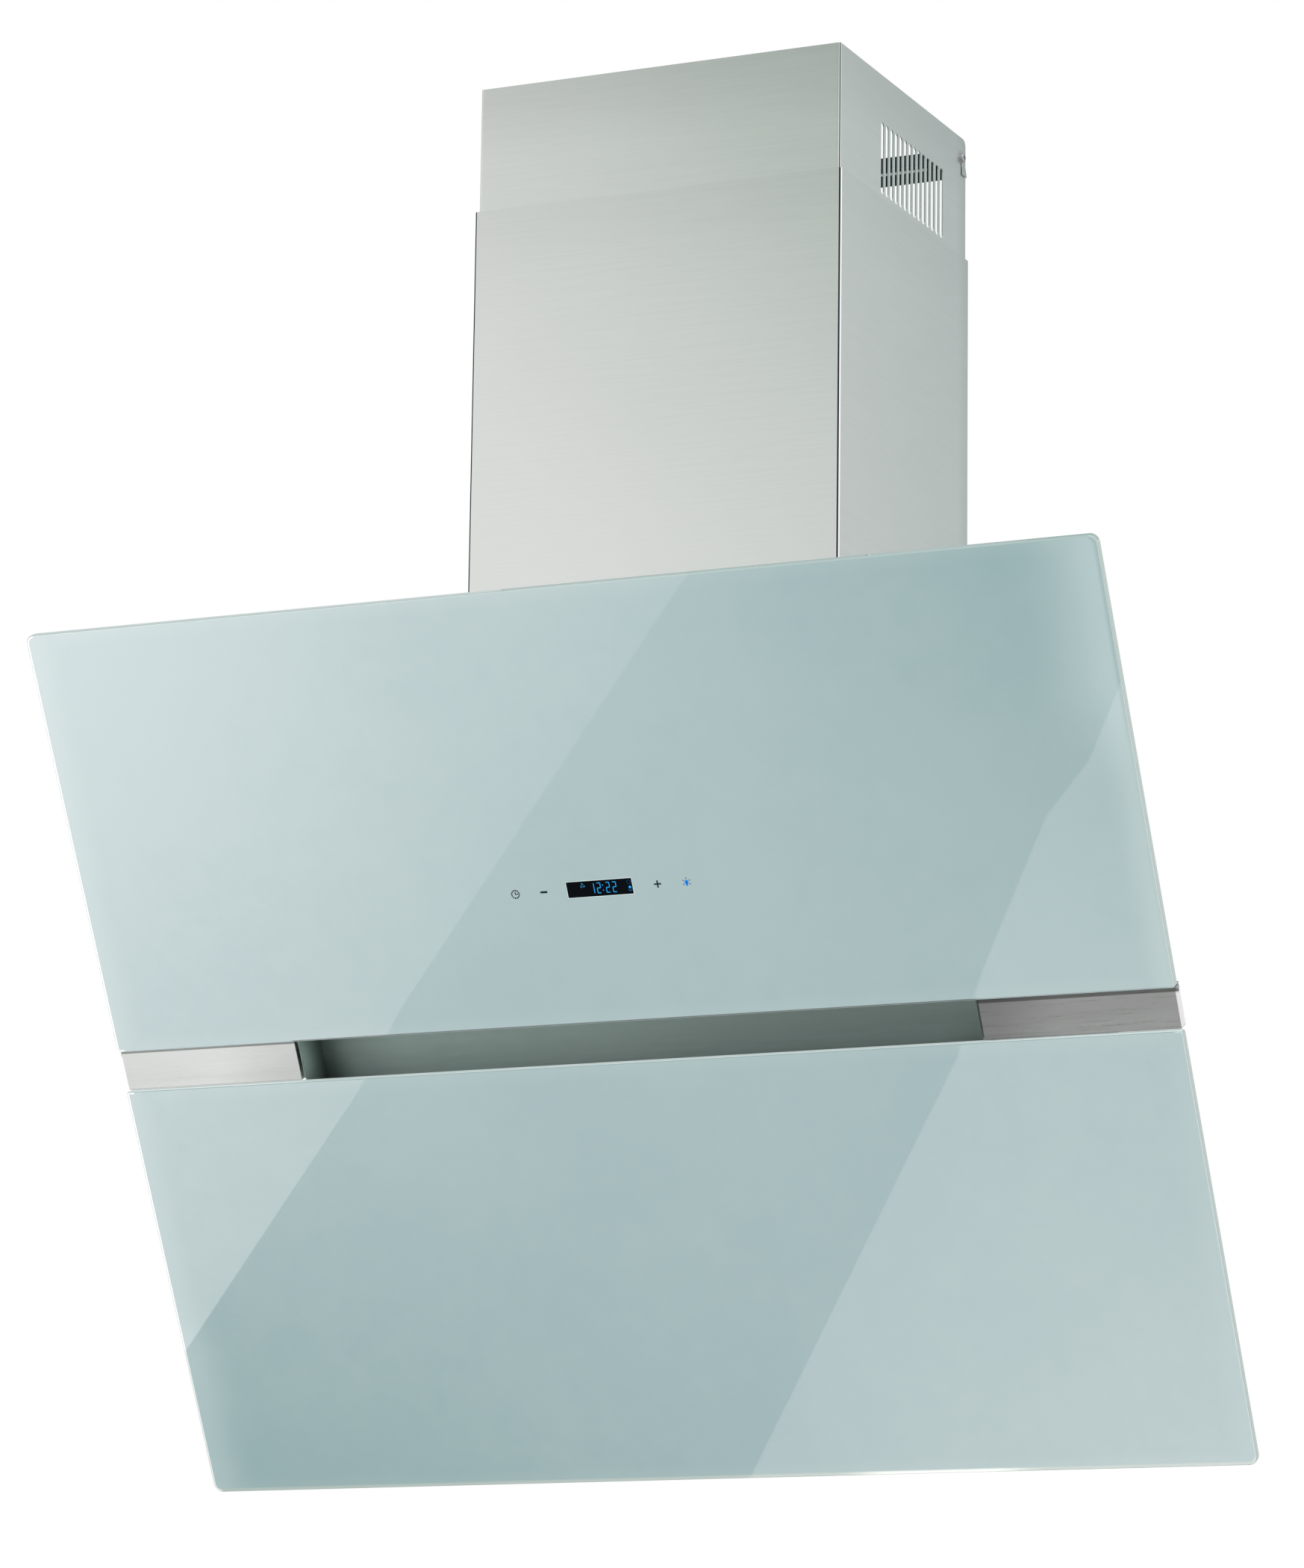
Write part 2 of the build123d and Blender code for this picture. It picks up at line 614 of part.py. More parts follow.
def control_housing():
    """Plastic tray between the front plate and the glass, open towards the glass."""
    half = CONTROL_LENGTH / 2
    u = (CONTROL_ROW - CONTROL_HEIGHT / 2, CONTROL_ROW + CONTROL_HEIGHT / 2)
    w = (GLASS_THICKNESS, FRONT_STANDOFF)
    tray = slope_block((-half, half), u, w) - slope_block(
        (-half + CONTROL_WALL, half - CONTROL_WALL),
        (u[0] + CONTROL_WALL, u[1] - CONTROL_WALL),
        (w[0] - OVER, w[1] - CONTROL_WALL),
    )
    post_start = BOARD_DEPTH + BOARD_THICKNESS
    for x in (-half / 2, half / 2):
        tray = tray + slope_rod(
            x, CONTROL_ROW, post_start, BOARD_POST_RADIUS, FRONT_STANDOFF - CONTROL_WALL / 2 - post_start
        )
    return tray - slope_rod(0, CONTROL_ROW, FRONT_STANDOFF - OVER, CABLE_HOLE_RADIUS, 2 * OVER)


def touch_board():
    """Circuit board behind the touch keys."""
    half = CONTROL_LENGTH / 2 - CONTROL_WALL - BOARD_MARGIN
    height = CONTROL_HEIGHT / 2 - CONTROL_WALL - BOARD_MARGIN
    return slope_block(
        (-half, half),
        (CONTROL_ROW - height, CONTROL_ROW + height),
        (BOARD_DEPTH, BOARD_DEPTH + BOARD_THICKNESS),
    )


def display_module():
    """Digit display between the board and the glass."""
    return slope_block(
        (DISPLAY_OFFSET - DISPLAY_LENGTH / 2, DISPLAY_OFFSET + DISPLAY_LENGTH / 2),
        (CONTROL_ROW - DISPLAY_HEIGHT / 2, CONTROL_ROW + DISPLAY_HEIGHT / 2),
        (GLASS_THICKNESS, BOARD_DEPTH),
    )


def touch_springs():
    """Contact springs that carry each touch key's field from the board to the glass."""
    length = BOARD_DEPTH - GLASS_THICKNESS
    return Compound(
        [slope_rod(x, CONTROL_ROW, GLASS_THICKNESS, TOUCH_SPRING_RADIUS, length) for x in TOUCH_KEYS]
    )


# Grease filters


def filter_foot():
    """Bottom edge of the filters, down the slope."""
    return slope_u(SHELF_DEPTH, FLOOR_TOP + SHEET) - FILTER_FOOT_GAP


def latch_slot(x, slack):
    """Room for a latch's tongue in the head flange of the shelf."""
    half = LATCH_WIDTH / 2 + slack
    front = FILTER_FRONT + LATCH_LIP - slack
    return slope_block(
        (x - half, x + half),
        (LINER_END, FILTER_HEAD),
        (front, FILTER_FRONT + LATCH_LIP + LATCH_GROOVE_DEPTH),
    )


def filter_shelf():
    """Frame with a window for each filter, a seat for their feet and a keeper at their heads."""
    foot_z = FLOOR_TOP + SHEET
    back = SHELF_DEPTH + SHEET
    shelf = prism(
        [
            slope_point(LINER_END, SHELF_DEPTH),
            slope_point(LINER_END, back),
            slope_point(slope_u(back, foot_z), back),
            slope_point(slope_u(SHELF_DEPTH, foot_z), SHELF_DEPTH),
        ],
        (-BODY_INNER, BODY_INNER),
    )
    rear_flange = block(
        (-BODY_INNER + FLANGE, BODY_INNER - FLANGE),
        (front_y(SHELF_DEPTH, foot_z), front_y(back, foot_z) + SHELF_FLANGE),
        (FLOOR_TOP, foot_z),
    )
    foot = filter_foot()
    inner_width = (-BODY_INNER + FLANGE, BODY_INNER - FLANGE)
    seat = slope_block(inner_width, (foot, foot + SHEET), (FILTER_FRONT - SHEET, SHELF_DEPTH))
    lip = slope_block(inner_width, (foot - FOOT_LIP, foot), (FILTER_FRONT - SHEET, FILTER_FRONT))
    keeper_end = FILTER_HEAD - SHEET
    keeper = slope_block(inner_width, (keeper_end - SHEET, keeper_end), (FILTER_FRONT, SHELF_DEPTH))
    shelf = shelf + rear_flange + seat + lip + keeper
    for side in (-1, 1):
        x = sorted((side * (FILTER_INNER + FILTER_BORDER), side * (FILTER_OUTER - FILTER_BORDER)))
        window = (FILTER_HEAD + FILTER_BORDER, foot - FILTER_BORDER)
        shelf = shelf - slope_block(x, window, (SHELF_DEPTH - CLEARANCE, back + OVER))
        shelf = shelf - latch_slot(side * FILTER_CENTRE, LATCH_SLACK)
    return shelf


def filter_frame():
    """Right filter's cassette, with a T-shaped groove for the latch at its head."""
    foot = filter_foot()
    frame = slope_block((FILTER_INNER, FILTER_OUTER), (FILTER_HEAD, foot), (FILTER_FRONT, SHELF_DEPTH))
    frame = frame - slope_block(
        (FILTER_INNER + FILTER_BORDER, FILTER_OUTER - FILTER_BORDER),
        (FILTER_HEAD + FILTER_BORDER, foot - FILTER_BORDER),
        (FILTER_FRONT - OVER, SHELF_DEPTH + OVER),
    )
    half = LATCH_BLOCK_WIDTH / 2
    frame = frame + slope_block(
        (FILTER_CENTRE - half, FILTER_CENTRE + half),
        (FILTER_HEAD, FILTER_HEAD + LATCH_BLOCK_HEIGHT),
        (FILTER_FRONT, SHELF_DEPTH),
    )
    groove_end = FILTER_HEAD + LATCH_LENGTH - LATCH_TONGUE + LATCH_TRAVEL + LATCH_SLACK
    wide = LATCH_WIDTH / 2 + LATCH_SLACK
    narrow = LATCH_NECK_WIDTH / 2 + LATCH_SLACK
    frame = frame - slope_block(
        (FILTER_CENTRE - wide, FILTER_CENTRE + wide),
        (FILTER_HEAD - OVER, groove_end),
        (FILTER_FRONT + LATCH_LIP, FILTER_FRONT + LATCH_LIP + LATCH_THICKNESS + 2 * LATCH_SLACK),
    )
    return frame - slope_block(
        (FILTER_CENTRE - narrow, FILTER_CENTRE + narrow),
        (FILTER_HEAD - OVER, groove_end),
        (FILTER_FRONT - OVER, FILTER_FRONT + LATCH_LIP + LATCH_SLACK),
    )


def filter_mesh():
    """Right filter's mesh pack, held in the cassette."""
    middle = FILTER_FRONT + FILTER_THICKNESS / 2
    w = (middle - MESH_THICKNESS / 2, middle + MESH_THICKNESS / 2)
    mesh = slope_block(
        (FILTER_INNER + FILTER_BORDER, FILTER_OUTER - FILTER_BORDER),
        (FILTER_HEAD + FILTER_BORDER, filter_foot() - FILTER_BORDER),
        w,
    )
    half = LATCH_BLOCK_WIDTH / 2
    return mesh - slope_block(
        (FILTER_CENTRE - half, FILTER_CENTRE + half),
        (FILTER_HEAD, FILTER_HEAD + LATCH_BLOCK_HEIGHT),
        (w[0] - OVER, w[1] + OVER),
    )


def filter_latch():
    """Right filter's spring latch: a slider with a tongue at its head and a finger grip."""
    head = FILTER_HEAD - LATCH_TONGUE
    foot = head + LATCH_LENGTH
    base = FILTER_FRONT + LATCH_LIP + LATCH_SLACK
    slider = slope_block(
        (FILTER_CENTRE - LATCH_WIDTH / 2, FILTER_CENTRE + LATCH_WIDTH / 2),
        (head, foot),
        (base, base + LATCH_THICKNESS),
    )
    grip = slope_block(
        (FILTER_CENTRE - LATCH_NECK_WIDTH / 2, FILTER_CENTRE + LATCH_NECK_WIDTH / 2),
        (foot - LATCH_GRIP, foot),
        (FILTER_FRONT - LATCH_GRIP_HEIGHT, base),
    )
    return slider + grip


# Door with the lower glass


def hinge_ear(x, u, w):
    """Ear from the hinge axis to a rectangle of the slope's frame."""
    knuckle = Pos(HINGE_U, HINGE_W) * Circle(HINGE_EAR_RADIUS)
    seat = Pos((u[0] + u[1]) / 2, (w[0] + w[1]) / 2) * Rectangle(u[1] - u[0], w[1] - w[0])
    outline = make_hull(knuckle.edges() + seat.edges())
    ear = extrude(Plane.YZ.offset(x[0]) * outline, amount=x[1] - x[0])
    return SLOPE.location * ear


def door_frame():
    """Steel tray bonded to the lower glass, with hinge ears and two strike tabs."""
    u = (DOOR_START, DOOR_END)
    w = (GLASS_THICKNESS, DOOR_BACK)
    frame = slope_block((-DOOR_HALF, DOOR_HALF), u, w) - slope_block(
        (-DOOR_HALF + SHEET, DOOR_HALF - SHEET),
        (u[0] + SHEET, u[1] - SHEET),
        (w[0] + SHEET, w[1] + OVER),
    )
    tab_start = GAP_END + DOOR_TAB_START
    tab = slope_block(
        (DOOR_HALF - SHEET, BODY_INNER - CLEARANCE),
        (tab_start, tab_start + DOOR_TAB_HEIGHT),
        (DOOR_BACK - DOOR_TAB_SHEET, DOOR_BACK),
    )
    ear = hinge_ear((DOOR_HALF - DOOR_EAR, DOOR_HALF), (DOOR_END - FLANGE, DOOR_END), w)
    ear = ear - slope_hinge_bore(HINGE_PIN_RADIUS)
    for piece in (tab, ear):
        frame = frame + piece + mirrored(piece)
    return frame


def slope_hinge_bore(radius):
    """Cylinder along the hinge axis, right across the hood."""
    return SLOPE.location * rod((-GLASS_WIDTH, HINGE_U, HINGE_W), (1, 0, 0), radius, 2 * GLASS_WIDTH)


def hinge_brackets():
    """Ears on the floor panel's lip, in which the door's pins turn."""
    x = (DOOR_HALF + BRACKET_EAR_GAP, DOOR_HALF + BRACKET_EAR_GAP + BRACKET_EAR)
    lip_end = slope_u(FRONT_STANDOFF, FLOOR_UNDER)
    u = (lip_end - BRACKET_FOOT_HEIGHT, lip_end - SHEET)
    w = (FRONT_STANDOFF - BRACKET_FOOT_SHEET, FRONT_STANDOFF)
    ear = hinge_ear(x, u, w) - slope_hinge_bore(HINGE_PIN_RADIUS + HINGE_RADIAL_CLEARANCE)
    foot = slope_block((x[1] - BRACKET_FOOT, x[1]), u, w)
    return pair(ear + foot)


def hinge_pins():
    """Pins fixed in the door's ears."""
    length = DOOR_EAR + BRACKET_EAR_GAP + BRACKET_EAR + 2 * HINGE_PIN_RADIUS
    start = (DOOR_HALF - DOOR_EAR - HINGE_PIN_RADIUS, HINGE_U, HINGE_W)
    return pair(SLOPE.location * rod(start, (1, 0, 0), HINGE_PIN_RADIUS, length))


def door_magnets():
    """Magnets on the body's front flanges that hold the door shut."""
    outer = BODY_INNER - (FLANGE - MAGNET_WIDTH) / 2
    start = GAP_END + DOOR_TAB_START + (DOOR_TAB_HEIGHT - MAGNET_HEIGHT) / 2
    return pair(
        slope_block(
            (outer - MAGNET_WIDTH, outer),
            (start, start + MAGNET_HEIGHT),
            (DOOR_BACK + MAGNET_GAP, FRONT_BACK),
        )
    )


# Blower


def scroll_face(inset):
    """Outline of the scroll and its throat in Y and Z, drawn in by an inset."""
    start = SCROLL_START - inset
    end = SCROLL_END - inset
    tongue = SCROLL_END - THROAT_DEPTH + inset
    first = degrees(acos(tongue / start))
    points = []
    for step in range(SCROLL_STEPS + 1):
        share = step / SCROLL_STEPS
        angle = radians(first + (360 - first) * share)
        radius = start + (end - start) * share
        points.append((radius * cos(angle), radius * sin(angle)))
    spiral = Spline(*points)
    throat = Polyline(points[-1], (end, SCROLL_DROP), (tongue, SCROLL_DROP), points[0])
    return Pos(IMPELLER_Y, IMPELLER_Z) * make_face(spiral.edges() + throat.edges())


def blower_housing():
    """Right half of the blower's plastic scroll, with its inlet and roof flange."""
    rim = extrude(Plane.YZ * (scroll_face(0) - scroll_face(SCROLL_WALL)), amount=SCROLL_HALF)
    cheek = extrude(Plane.YZ.offset(SCROLL_HALF - SCROLL_WALL) * scroll_face(0), amount=SCROLL_WALL)
    cheek = cheek - rod((0, IMPELLER_Y, IMPELLER_Z), (1, 0, 0), INLET_RADIUS, SCROLL_WIDTH)
    reach = THROAT_DEPTH / 2
    flange = block(
        (0, SCROLL_HALF + THROAT_FLANGE),
        (DUCT_Y - reach - THROAT_FLANGE, DUCT_Y + reach + THROAT_FLANGE),
        (ROOF_UNDER - SCROLL_WALL, ROOF_UNDER),
    )
    flange = flange - block(
        (-OVER, SCROLL_HALF - SCROLL_WALL),
        (DUCT_Y - reach + SCROLL_WALL, DUCT_Y + reach - SCROLL_WALL),
        (ROOF_UNDER - OVER, ROOF_UNDER + OVER),
    )
    housing = rim + cheek + flange
    return drill(housing, duct_screw_points(ROOF_UNDER), (0, 0, 1), DUCT_SCREW[2] / 2)


def impeller():
    """Double-inlet wheel: blades between two end rings, on a central disc."""
    half = IMPELLER_WIDTH / 2
    radius = IMPELLER_DIAMETER / 2
    ring_bore = radius - BLADE_CHORD - IMPELLER_RIM
    ring = Cylinder(radius, IMPELLER_RING) - Cylinder(ring_bore, 2 * IMPELLER_RING)
    disc = Cylinder(radius - 2 * IMPELLER_RIM, IMPELLER_DISC)
    wheel = disc + Pos(0, 0, -IMPELLER_DISC) * Cylinder(HUB_RADIUS, HUB_LENGTH)
    for side in (-1, 1):
        wheel = wheel + Pos(0, 0, side * (half - IMPELLER_RING / 2)) * ring
    blade = Rot(0, 0, BLADE_SKEW) * Box(BLADE_CHORD, BLADE_THICKNESS, IMPELLER_WIDTH - IMPELLER_RING)
    blades = [
        Rot(0, 0, 360 * index / BLADE_COUNT) * Pos(radius - (BLADE_CHORD + IMPELLER_RIM) / 2, 0, 0) * blade
        for index in range(BLADE_COUNT)
    ]
    wheel = wheel.fuse(*blades) - Cylinder(SHAFT_RADIUS, IMPELLER_WIDTH)
    return Plane(origin=(0, IMPELLER_Y, IMPELLER_Z), z_dir=(1, 0, 0)).location * wheel


def motor():
    """Motor body inside the right half of the impeller, bored for the shaft."""
    length = SCROLL_HALF - MOTOR_START
    body = rod((0, 0, 0), (0, 0, 1), MOTOR_RADIUS, length)
    body = fillet(body.edges().group_by(Axis.Z)[0], 2 * SCROLL_WALL)
    body = body - rod((0, 0, -OVER), (0, 0, 1), SHAFT_RADIUS + SHAFT_RADIAL_CLEARANCE, length + 2 * OVER)
    return Plane(origin=(MOTOR_START, IMPELLER_Y, IMPELLER_Z), z_dir=(1, 0, 0)).location * body


def motor_shaft():
    """Shaft that the impeller is pressed on."""
    start = (SHAFT_START, IMPELLER_Y, IMPELLER_Z)
    return rod(start, (1, 0, 0), SHAFT_RADIUS, SHAFT_END - SHAFT_START)


def motor_bracket():
    """Spider that carries the motor in the right inlet."""
    reach = INLET_RADIUS + MOTOR_ARM_OVERLAP
    spider = Cylinder(MOTOR_RING_RADIUS, MOTOR_ARM_THICKNESS)
    for index in range(MOTOR_ARM_COUNT):
        arm = Pos(reach / 2, 0, 0) * Box(reach, MOTOR_ARM_WIDTH, MOTOR_ARM_THICKNESS)
        spider = spider + Rot(0, 0, 45 + 360 * index / MOTOR_ARM_COUNT) * arm
    spider = spider - Cylinder(SHAFT_RADIUS * 2, 2 * MOTOR_ARM_THICKNESS)
    centre = (SCROLL_HALF + MOTOR_ARM_THICKNESS / 2, IMPELLER_Y, IMPELLER_Z)
    return Plane(origin=centre, z_dir=(1, 0, 0)).location * spider


# Duct spigot


def outlet_spigot():
    """Collar for the duct, with a ledge that the closed flaps rest on."""
    base = block(
        (-SPIGOT_BASE_WIDTH / 2, SPIGOT_BASE_WIDTH / 2),
        (DUCT_Y - SPIGOT_BASE_DEPTH / 2, DUCT_Y + SPIGOT_BASE_DEPTH / 2),
        (ROOF_TOP, ROOF_TOP + SPIGOT_BASE),
    )
    centre = (0, DUCT_Y, ROOF_TOP)
    bore_radius = DUCT_RADIUS - SPIGOT_WALL
    collar = rod(centre, (0, 0, 1), DUCT_RADIUS, SPIGOT_HEIGHT)
    bore = rod((0, DUCT_Y, ROOF_TOP - OVER), (0, 0, 1), bore_radius, SPIGOT_HEIGHT + 2 * OVER)
    spigot = base + collar - bore
    ledge_top = FLAP_Z - FLAP_THICKNESS / 2 - LEDGE_GAP
    ledge_start = (0, DUCT_Y, ledge_top - LEDGE_THICKNESS)
    ledge = rod(ledge_start, (0, 0, 1), bore_radius + SPIGOT_WALL / 2, LEDGE_THICKNESS)
    ledge = ledge - rod(ledge_start, (0, 0, 1), bore_radius - LEDGE_WIDTH, LEDGE_THICKNESS)
    spigot = spigot + ledge - flap_bore(FLAP_PIN_RADIUS)
    clear = FLAP_KNUCKLE_RADIUS + LEDGE_GAP
    spigot = spigot - block(
        (-bore_radius, bore_radius),
        (DUCT_Y - clear, DUCT_Y + clear),
        (ledge_start[2] - LEDGE_GAP, ledge_top + LEDGE_GAP),
    )
    return drill(spigot, duct_screw_points(ROOF_TOP), (0, 0, 1), DUCT_SCREW[2] / 2)


def flap_bore(radius):
    """Cylinder along the flaps' axis, right across the spigot."""
    length = DUCT_DIAMETER + 2 * OVER
    return rod((-length / 2, DUCT_Y, FLAP_Z), (1, 0, 0), radius, length)


def flap_pin():
    """Pin across the spigot that both flaps turn on."""
    length = DUCT_DIAMETER - SPIGOT_WALL
    return rod((-length / 2, DUCT_Y, FLAP_Z), (1, 0, 0), FLAP_PIN_RADIUS, length)


def rear_flap():
    """Half disc on the wall side of the pin, with two knuckles."""
    radius = DUCT_RADIUS - SPIGOT_WALL - FLAP_RIM_GAP
    z = (FLAP_Z - FLAP_THICKNESS / 2, FLAP_Z + FLAP_THICKNESS / 2)
    disc = rod((0, DUCT_Y, z[0]), (0, 0, 1), radius, FLAP_THICKNESS)
    flap = disc & block((-radius, radius), (DUCT_Y + FLAP_EDGE, DUCT_Y + radius), z)
    length = FLAP_KNUCKLE_LENGTH
    for x in (-2 * length, 3 * length):
        knuckle = rod((x, DUCT_Y, FLAP_Z), (1, 0, 0), FLAP_KNUCKLE_RADIUS, length)
        web = block((x, x + length), (DUCT_Y, DUCT_Y + 2 * FLAP_EDGE), z)
        flap = flap + knuckle + web
    return flap - flap_bore(FLAP_PIN_RADIUS + FLAP_PIN_CLEARANCE)


def front_flap():
    """The same flap turned half round, on the other side of the pin."""
    return Pos(0, DUCT_Y, 0) * (Rot(0, 0, 180) * (Pos(0, -DUCT_Y, 0) * rear_flap()))


# Electrical pieces


def wiring_box():
    """Plastic box under the roof, open downwards."""
    x, y = WIRING_BOX[:2]
    box = block(
        (WIRING_BOX_X - x / 2, WIRING_BOX_X + x / 2),
        (WIRING_BOX_Y - y / 2, WIRING_BOX_Y + y / 2),
        (WIRING_FOOT, ROOF_UNDER),
    )
    x = x - 2 * WIRING_WALL
    y = y - 2 * WIRING_WALL
    return box - block(
        (WIRING_BOX_X - x / 2, WIRING_BOX_X + x / 2),
        (WIRING_BOX_Y - y / 2, WIRING_BOX_Y + y / 2),
        (WIRING_FOOT - OVER, ROOF_UNDER - WIRING_WALL),
    )


def wiring_cover():
    """Plate that closes the wiring box."""
    x, y = WIRING_BOX[:2]
    return block(
        (WIRING_BOX_X - x / 2, WIRING_BOX_X + x / 2),
        (WIRING_BOX_Y - y / 2, WIRING_BOX_Y + y / 2),
        (WIRING_FOOT - WIRING_COVER, WIRING_FOOT),
    )


def control_board():
    """Power board on the wiring cover's stand-offs."""
    half_x = WIRING_BOX[0] / 2 - WIRING_WALL - BOARD_MARGIN
    half_y = WIRING_BOX[1] / 2 - WIRING_WALL - BOARD_MARGIN
    bottom = WIRING_FOOT + CONTROL_BOARD_STAND
    board = block(
        (WIRING_BOX_X - half_x, WIRING_BOX_X + half_x),
        (WIRING_BOX_Y - half_y, WIRING_BOX_Y + half_y),
        (bottom, bottom + BOARD_THICKNESS),
    )
    for side_x in (-1, 1):
        for side_y in (-1, 1):
            foot = (
                WIRING_BOX_X + side_x * (half_x - 2 * BOARD_POST_RADIUS),
                WIRING_BOX_Y + side_y * (half_y - 2 * BOARD_POST_RADIUS),
                WIRING_FOOT,
            )
            board = board + rod(foot, (0, 0, 1), BOARD_POST_RADIUS, CONTROL_BOARD_STAND)
    return board


def motor_capacitor():
    """Run capacitor, lying on the power board."""
    z = WIRING_FOOT + CONTROL_BOARD_STAND + BOARD_THICKNESS
    start = (WIRING_BOX_X - CAPACITOR_LENGTH / 2, WIRING_BOX_Y, z + CAPACITOR_RADIUS)
    return rod(start, (1, 0, 0), CAPACITOR_RADIUS, CAPACITOR_LENGTH)


def lamp_driver():
    """Supply for the lamps, under the roof on the left."""
    x, y, z = LAMP_DRIVER
    return block(
        (LAMP_DRIVER_X - x / 2, LAMP_DRIVER_X + x / 2),
        (LAMP_DRIVER_Y - y / 2, LAMP_DRIVER_Y + y / 2),
        (ROOF_UNDER - z, ROOF_UNDER),
    )


def cable_gland():
    """Gland for the supply cable in the roof, with its lock nut below."""
    z = ROOF_TOP
    collar = rod((GLAND_X, GLAND_Y, z), (0, 0, 1), GLAND_COLLAR_RADIUS, GLAND_COLLAR_HEIGHT)
    dome_start = (GLAND_X, GLAND_Y, z + GLAND_COLLAR_HEIGHT)
    dome = rod(dome_start, (0, 0, 1), GLAND_DOME_RADIUS, GLAND_DOME_HEIGHT)
    thread_start = (GLAND_X, GLAND_Y, z - GLAND_THREAD_LENGTH)
    thread = rod(thread_start, (0, 0, 1), GLAND_THREAD_RADIUS, GLAND_THREAD_LENGTH)
    body = collar + dome + thread - rod(thread_start, (0, 0, 1), GLAND_BORE_RADIUS, CHIMNEY_DEPTH)
    hexagon = extrude(RegularPolygon(GLAND_COLLAR_RADIUS, side_count=6), amount=GLAND_NUT_HEIGHT)
    nut = hexagon - rod((0, 0, 0), (0, 0, 1), GLAND_THREAD_RADIUS, GLAND_NUT_HEIGHT)
    return Compound([body, Pos(GLAND_X, GLAND_Y, ROOF_UNDER - GLAND_NUT_HEIGHT) * nut])


# Lamps


def lamp_housing(point):
    """Recessed lamp body with a rim under the floor and a seat for its lens."""
    direction = (0, 0, 1)
    rim_bottom = point[2] - LAMP_RIM
    body = rod(point, direction, LAMP_RADIUS, LAMP_HEIGHT)
    rim = rod((point[0], point[1], rim_bottom), direction, LAMP_RIM_RADIUS, LAMP_RIM)
    seat = rod((point[0], point[1], rim_bottom), direction, LENS_RADIUS, LENS_THICKNESS)
    return body + rim - seat


def lamp_housings():
    """Both lamp bodies."""
    return Compound([lamp_housing(point) for point in lamp_points(FLOOR_UNDER)])


def lamp_lenses():
    """Diffuser discs that fill the seats of the lamp bodies."""
    points = lamp_points(FLOOR_UNDER - LAMP_RIM)
    return Compound([rod(point, (0, 0, 1), LENS_RADIUS, LENS_THICKNESS) for point in points])


# Chimney


def channel(half_width, depth, low, high):
    """Upright U-section of folded sheet, open towards the wall."""
    outer = block((-half_width, half_width), (-depth, 0), (low, high))
    outer = fillet(outer.edges().filter_by(Axis.Z).group_by(Axis.Y)[0], CHIMNEY_BEND)
    inner = block(
        (-half_width + CHIMNEY_SHEET, half_width - CHIMNEY_SHEET),
        (-depth + CHIMNEY_SHEET, OVER),
        (low - OVER, high + OVER),
    )
    inner = fillet(inner.edges().filter_by(Axis.Z).group_by(Axis.Y)[0], CHIMNEY_BEND - CHIMNEY_SHEET)
    return outer - inner


def side_screw_points(x, z):
    """Centres of the two screws through a section's sides."""
    return [(-x, -SIDE_SCREW_SETBACK, z), (x, -SIDE_SCREW_SETBACK, z)]


def lower_chimney():
    """Outer section, standing on the roof."""
    section = channel(LOWER_CHIMNEY_HALF, CHIMNEY_DEPTH, ROOF_TOP, LOWER_CHIMNEY_TOP)
    points = side_screw_points(LOWER_CHIMNEY_HALF, LOWER_BRACKET_BOTTOM + BRACKET_HEIGHT / 2)
    return drill(section, points, (1, 0, 0), SIDE_SCREW[2] / 2)


def vent_slots():
    """Cutter for the rows of upright slots in both sides of the upper section."""
    slots = []
    for index in range(VENT_COUNT):
        y = -VENT_SETBACK - index * VENT_PITCH
        outline = Pos(y, CHIMNEY_TOP - VENT_DROP) * SlotOverall(VENT_HEIGHT, VENT_WIDTH, rotation=90)
        slots.append(extrude(Plane.YZ * outline, amount=CHIMNEY_WIDTH, both=True))
    return Compound(slots)


def relief_tab():
    """Tab beside the screw at the section's rear edge, flared outwards at its foot."""
    outer = UPPER_CHIMNEY_HALF
    inner = outer - CHIMNEY_SHEET
    outline = Polygon(
        (inner, RELIEF_TOP),
        (inner + TAB_FLARE, RELIEF_BOTTOM),
        (outer + TAB_FLARE, RELIEF_BOTTOM),
        (outer, RELIEF_TOP),
        align=None,
    )
    depth = SIDE_SCREW_SETBACK - RELIEF_WIDTH / 2
    return extrude(Plane.XZ * outline, amount=depth, dir=(0, -1, 0))


def upper_chimney():
    """Inner section, with side vents and a flared tab at each screw."""
    section = channel(UPPER_CHIMNEY_HALF, UPPER_CHIMNEY_DEPTH, UPPER_CHIMNEY_BOTTOM, CHIMNEY_TOP)
    corners = section.edges().filter_by(Axis.X).group_by(Axis.Z)[-1].group_by(Axis.Y)[-1]
    section = fillet(corners, REAR_CORNER_RADIUS) - vent_slots()
    depth = SIDE_SCREW_SETBACK + RELIEF_WIDTH / 2
    relief = block((-CHIMNEY_WIDTH, CHIMNEY_WIDTH), (-depth, OVER), (RELIEF_BOTTOM, RELIEF_TOP))
    section = section - relief
    tab = relief_tab()
    section = section + tab + mirrored(tab)
    points = side_screw_points(UPPER_CHIMNEY_HALF, SIDE_SCREW_Z)
    return drill(section, points, (1, 0, 0), SIDE_SCREW[2] / 2)


def chimney_bracket(half_width, bottom):
    """Wall strip with forward ears, a stiffening rib and two wall holes."""
    top = bottom + BRACKET_HEIGHT
    middle = (bottom + top) / 2
    strip = block((-half_width, half_width), (-BRACKET_SHEET, 0), (bottom, top))
    ear = block((half_width - BRACKET_SHEET, half_width), (-BRACKET_EAR_DEPTH, 0), (bottom, top))
    rib_half = BRACKET_HOLE_SPACING / 2 - BRACKET_HOLE_DIAMETER
    rib = rod((-rib_half, -BRACKET_SHEET, middle), (1, 0, 0), BRACKET_RIB_RADIUS, 2 * rib_half)
    bracket = strip + ear + mirrored(ear) + rib
    holes = [(side * BRACKET_HOLE_SPACING / 2, 0, middle) for side in (-1, 1)]
    return drill(bracket, holes, (0, 1, 0), BRACKET_HOLE_DIAMETER / 2)


